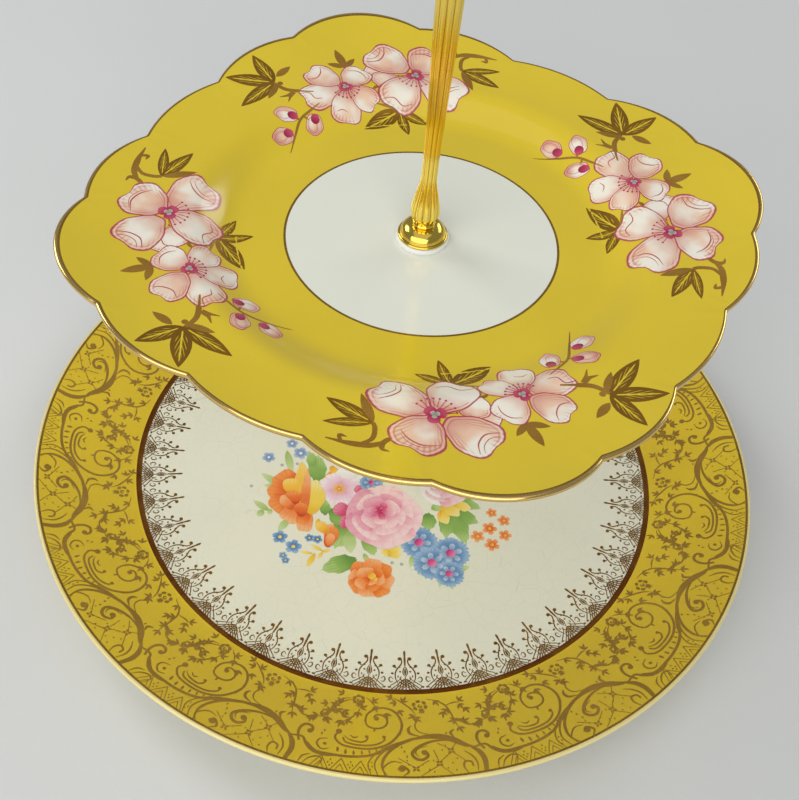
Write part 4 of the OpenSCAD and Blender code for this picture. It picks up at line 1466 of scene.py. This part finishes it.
class STAND_OT_washers(bpy.types.Operator):
    """Domed gold cup washers, neck rings and the collar and bead of the handle"""
    bl_idname = "cake_stand.washers"
    bl_label = "Cups and rings"

    def execute(self, context):
        for node, body, flip in (("lower_cup", "column", False), ("support_cup", "column", True),
                                 ("upper_cup", "column", False)):
            dome = [(3.2 + 4.0 * math.cos(math.radians(a)), 0.9 + 3.4 * math.sin(math.radians(a)))
                    for a in range(0, 91, 9)]
            section = [(2.3, 0), (7.6, 0), (7.84, 0.08), (7.9, 0.3), (7.9, 0.55), (7.8, 0.78),
                       (7.5, 0.9)] + dome + \
                      [(2.3, 4.3)]
            self.ring(node + "_domed", section, 96, node, body, flip, 50)
        for node, body, hole in (("lower_neck", "column", 2.3), ("support_neck", "column", 2.3),
                                 ("upper_neck", "neck", 2.55)):
            half = [(2.85 + 0.65 * math.sin(math.radians(a)), 0.65 - 0.65 * math.cos(math.radians(a)))
                    for a in range(0, 181, 15)]
            self.ring(node + "_ring", [(hole, 0)] + half + [(hole, 1.3)], 72, node, body, False, 50)
        round_edge = [(2.6 + 1.2 * math.sin(math.radians(a)), 1.2 - 1.2 * math.cos(math.radians(a)))
                      for a in range(0, 181, 12)]
        self.ring("handle_collar_ring", [(1.55, 0)] + round_edge + [(1.55, 2.4)], 72, "handle_collar",
                  "handle", False, 50)
        half = math.degrees(math.asin(1.6 / 2.9))
        belly = [(2.9 * math.cos(math.radians(a)), 1.6 + 2.9 * math.sin(math.radians(a)))
                 for a in [-half + 2 * half * i / 12 for i in range(13)]]
        self.ring("handle_bead_turned", [(1.55, 0)] + belly + [(1.55, 3.2)], 72, "handle_bead", "handle",
                  False, 50)
        return {"FINISHED"}

    def ring(self, name, section, steps, node, body, flip, sharp):
        bm = turned(section, steps)
        if flip:
            bmesh.ops.scale(bm, vec=(1, 1, -1), verts=bm.verts)
            bmesh.ops.translate(bm, vec=(0, 0, top_of(node)), verts=bm.verts)
        else:
            bmesh.ops.translate(bm, vec=(0, 0, foot_of(node)), verts=bm.verts)
        piece(name, bm, ["cup_gold" if "cup" in node else "polished_gold"], body, [node],
              sharp=sharp)


class STAND_OT_ring_handle(bpy.types.Operator):
    """Ring handle of round gold wire"""
    bl_idname = "cake_stand.ring_handle"
    bl_label = "Ring handle"

    def execute(self, context):
        low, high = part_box("ring_handle")
        centre = (low[2] + high[2]) / 2 / MM
        wire = (high[1] - low[1]) / 2 / MM
        radius = (high[0] - low[0]) / 2 / MM - wire
        bm = bmesh.new()
        made = bmesh.ops.create_circle(bm, cap_ends=False, radius=wire, segments=28)["verts"]
        bmesh.ops.translate(bm, vec=(radius, 0, 0), verts=made)
        bmesh.ops.spin(bm, geom=list(bm.verts) + list(bm.edges), cent=(0, 0, 0), axis=(0, 1, 0),
                       dvec=(0, 0, 0),
                       angle=math.tau, steps=144, use_merge=True, use_duplicate=False)
        bmesh.ops.translate(bm, vec=(0, 0, centre), verts=bm.verts)
        piece("ring_handle_wire", bm, ["polished_gold"], "handle", ["ring_handle"], sharp=60)
        return {"FINISHED"}


class STAND_OT_fixings(bpy.types.Operator):
    """Nylon washers with eased edges, and finishes for the fixings kept from the frame"""
    bl_idname = "cake_stand.fixings"
    bl_label = "Nylon washers and fixings"

    def execute(self, context):
        for node, body, up, thick in (("lower_seal", "lower_tier", True, 1.6),
                                      ("support_seal", "upper_tier", False, 1.6),
                                      ("upper_seal", "upper_tier", True, 1.6),
                                      ("base_seal", "lower_tier", False, 0.96)):
            face = thick - 0.02        # a hair of clearance, so that the turning washer slides over it
            section = [(2.05, -1.5), (4.05, -1.5), (4.18, -1.3), (4.18, 0), (8.1, 0), (8.32, 0.1),
                       (8.4, 0.3),
                       (8.4, face - 0.3), (8.32, face - 0.1), (8.1, face), (2.3, face), (2.05, face - 0.2)]
            bm = turned(section, 96)
            if up:
                bmesh.ops.translate(bm, vec=(0, 0, top_of(node) - thick), verts=bm.verts)
            else:
                bmesh.ops.scale(bm, vec=(1, 1, -1), verts=bm.verts)
                bmesh.ops.translate(bm, vec=(0, 0, foot_of(node) + thick), verts=bm.verts)
            piece(node + "_moulded", bm, ["nylon"], body, [node], sharp=50)
        for node, look in (("base_screw", "zinc_steel"), ("base_spring_washer", "zinc_steel"),
                           ("base_washer", "polished_gold"), ("tier_stud", "zinc_steel"),
                           ("handle_stud", "zinc_steel"), ("ring_seat", "polished_gold")):
            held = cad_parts[node]
            held = held if hasattr(held, "material_slots") else bpy.data.objects[node]
            if not held.material_slots:
                held.data.materials.append(finish(look))
            for each in held.material_slots:
                each.material = finish(look)
        return {"FINISHED"}


# ---------------------------------------------------------------- stage

class STAND_OT_stage(bpy.types.Operator):
    """Pale table, soft window light and the camera"""
    bl_idname = "cake_stand.stage"
    bl_label = "Stage"

    def execute(self, context):
        scene = context.scene
        stage = scene.stand_stage
        bm = bmesh.new()
        bmesh.ops.create_grid(bm, x_segments=4, y_segments=4, size=3.0)
        mesh = bpy.data.meshes.new("table_top")
        bm.to_mesh(mesh)
        bm.free()
        mesh.materials.append(finish("table"))
        table = bpy.data.objects.new("table_top", mesh)
        scene.collection.objects.link(table)
        table.location.z = -0.0003

        aim = Vector((stage.aim_x, stage.aim_y, 0))
        away = Vector((math.cos(stage.elevation) * math.cos(stage.azimuth),
                       math.cos(stage.elevation) * math.sin(stage.azimuth), math.sin(stage.elevation)))
        across = (-away).cross(Vector((0, 0, 1))).normalized()
        upward = across.cross(-away).normalized()
        turn = Matrix((across * math.cos(stage.roll) + upward * math.sin(stage.roll),
                       upward * math.cos(stage.roll) - across * math.sin(stage.roll), away)).transposed()
        lens = bpy.data.cameras.new("camera")
        lens.lens = stage.lens
        lens.sensor_width = 36
        lens.sensor_fit = "HORIZONTAL"
        lens.clip_start = 0.01
        camera = bpy.data.objects.new("camera", lens)
        camera.matrix_world = Matrix.Translation(aim + away * stage.distance) @ turn.to_4x4()
        scene.collection.objects.link(camera)
        scene.camera = camera

        for name, place, size, power, colour in (
                ("window_left", (-1.25, 0.05, 1.0), (0.7, 0.5), 6.5, (1.0, 0.99, 0.97)),
                ("window_back", (0.35, 1.25, 0.85), (0.9, 0.4), 3.4, (0.97, 0.98, 1.0)),
                ("front_fill", (0.30, -1.35, 0.78), (2.4, 1.6), 26.0, (1.0, 0.99, 0.97)),
                ("ceiling_bounce", (0.1, -0.35, 1.7), (1.6, 1.6), 3.6, (1.0, 1.0, 1.0))):
            data = bpy.data.lights.new(name, "AREA")
            data.shape = "RECTANGLE"
            data.size, data.size_y = size
            data.energy = power
            data.color = colour
            lamp = bpy.data.objects.new(name, data)
            lamp.location = place
            lamp.rotation_euler = (Vector((0, 0, 0.08)) - Vector(place)).to_track_quat("-Z", "Y").to_euler()
            scene.collection.objects.link(lamp)

        world = bpy.data.worlds.new("soft_room")
        world.use_nodes = True
        back = world.node_tree.nodes["Background"]
        back.inputs["Color"].default_value = (0.80, 0.82, 0.86, 1)
        back.inputs["Strength"].default_value = 0.34
        scene.world = world
        scene.view_settings.view_transform = "Standard"
        return {"FINISHED"}


# ---------------------------------------------------------------- panel and main

class STAND_PT_panel(bpy.types.Panel):
    """Buttons and settings of the cake stand"""
    bl_label = "Cake stand"
    bl_idname = "STAND_PT_panel"
    bl_space_type = "VIEW_3D"
    bl_region_type = "UI"
    bl_category = "Cake stand"

    def draw(self, context):
        scene = context.scene
        for group in (scene.stand_sizes, scene.stand_colours, scene.stand_stage):
            box = self.layout.box()
            for name in group.__annotations__:
                box.prop(group, name)
        column = self.layout.column()
        for operator in STEPS:
            column.operator(operator.bl_idname)


STEPS = (STAND_OT_stage, STAND_OT_lower_plate, STAND_OT_upper_plate, STAND_OT_scrolls, STAND_OT_palmettes,
         STAND_OT_bouquet, STAND_OT_sprays, STAND_OT_stems, STAND_OT_washers, STAND_OT_ring_handle,
         STAND_OT_fixings)
GROUPS = (StandSizes, StandColours, StageSettings)


def register():
    for each in GROUPS + STEPS + (STAND_PT_panel,):
        bpy.utils.register_class(each)
    bpy.types.Scene.stand_sizes = PointerProperty(type=StandSizes)
    bpy.types.Scene.stand_colours = PointerProperty(type=StandColours)
    bpy.types.Scene.stand_stage = PointerProperty(type=StageSettings)


def unregister():
    del bpy.types.Scene.stand_sizes
    del bpy.types.Scene.stand_colours
    del bpy.types.Scene.stand_stage
    for each in reversed(GROUPS + STEPS + (STAND_PT_panel,)):
        bpy.utils.unregister_class(each)


def main():
    """Build the whole stand."""
    register()
    ops = bpy.ops.cake_stand
    ops.stage()
    ops.lower_plate()
    ops.upper_plate()
    ops.scrolls()
    ops.palmettes()
    ops.bouquet()
    ops.sprays()
    ops.stems()
    ops.washers()
    ops.ring_handle()
    ops.fixings()


if __name__ == "__main__":
    main()
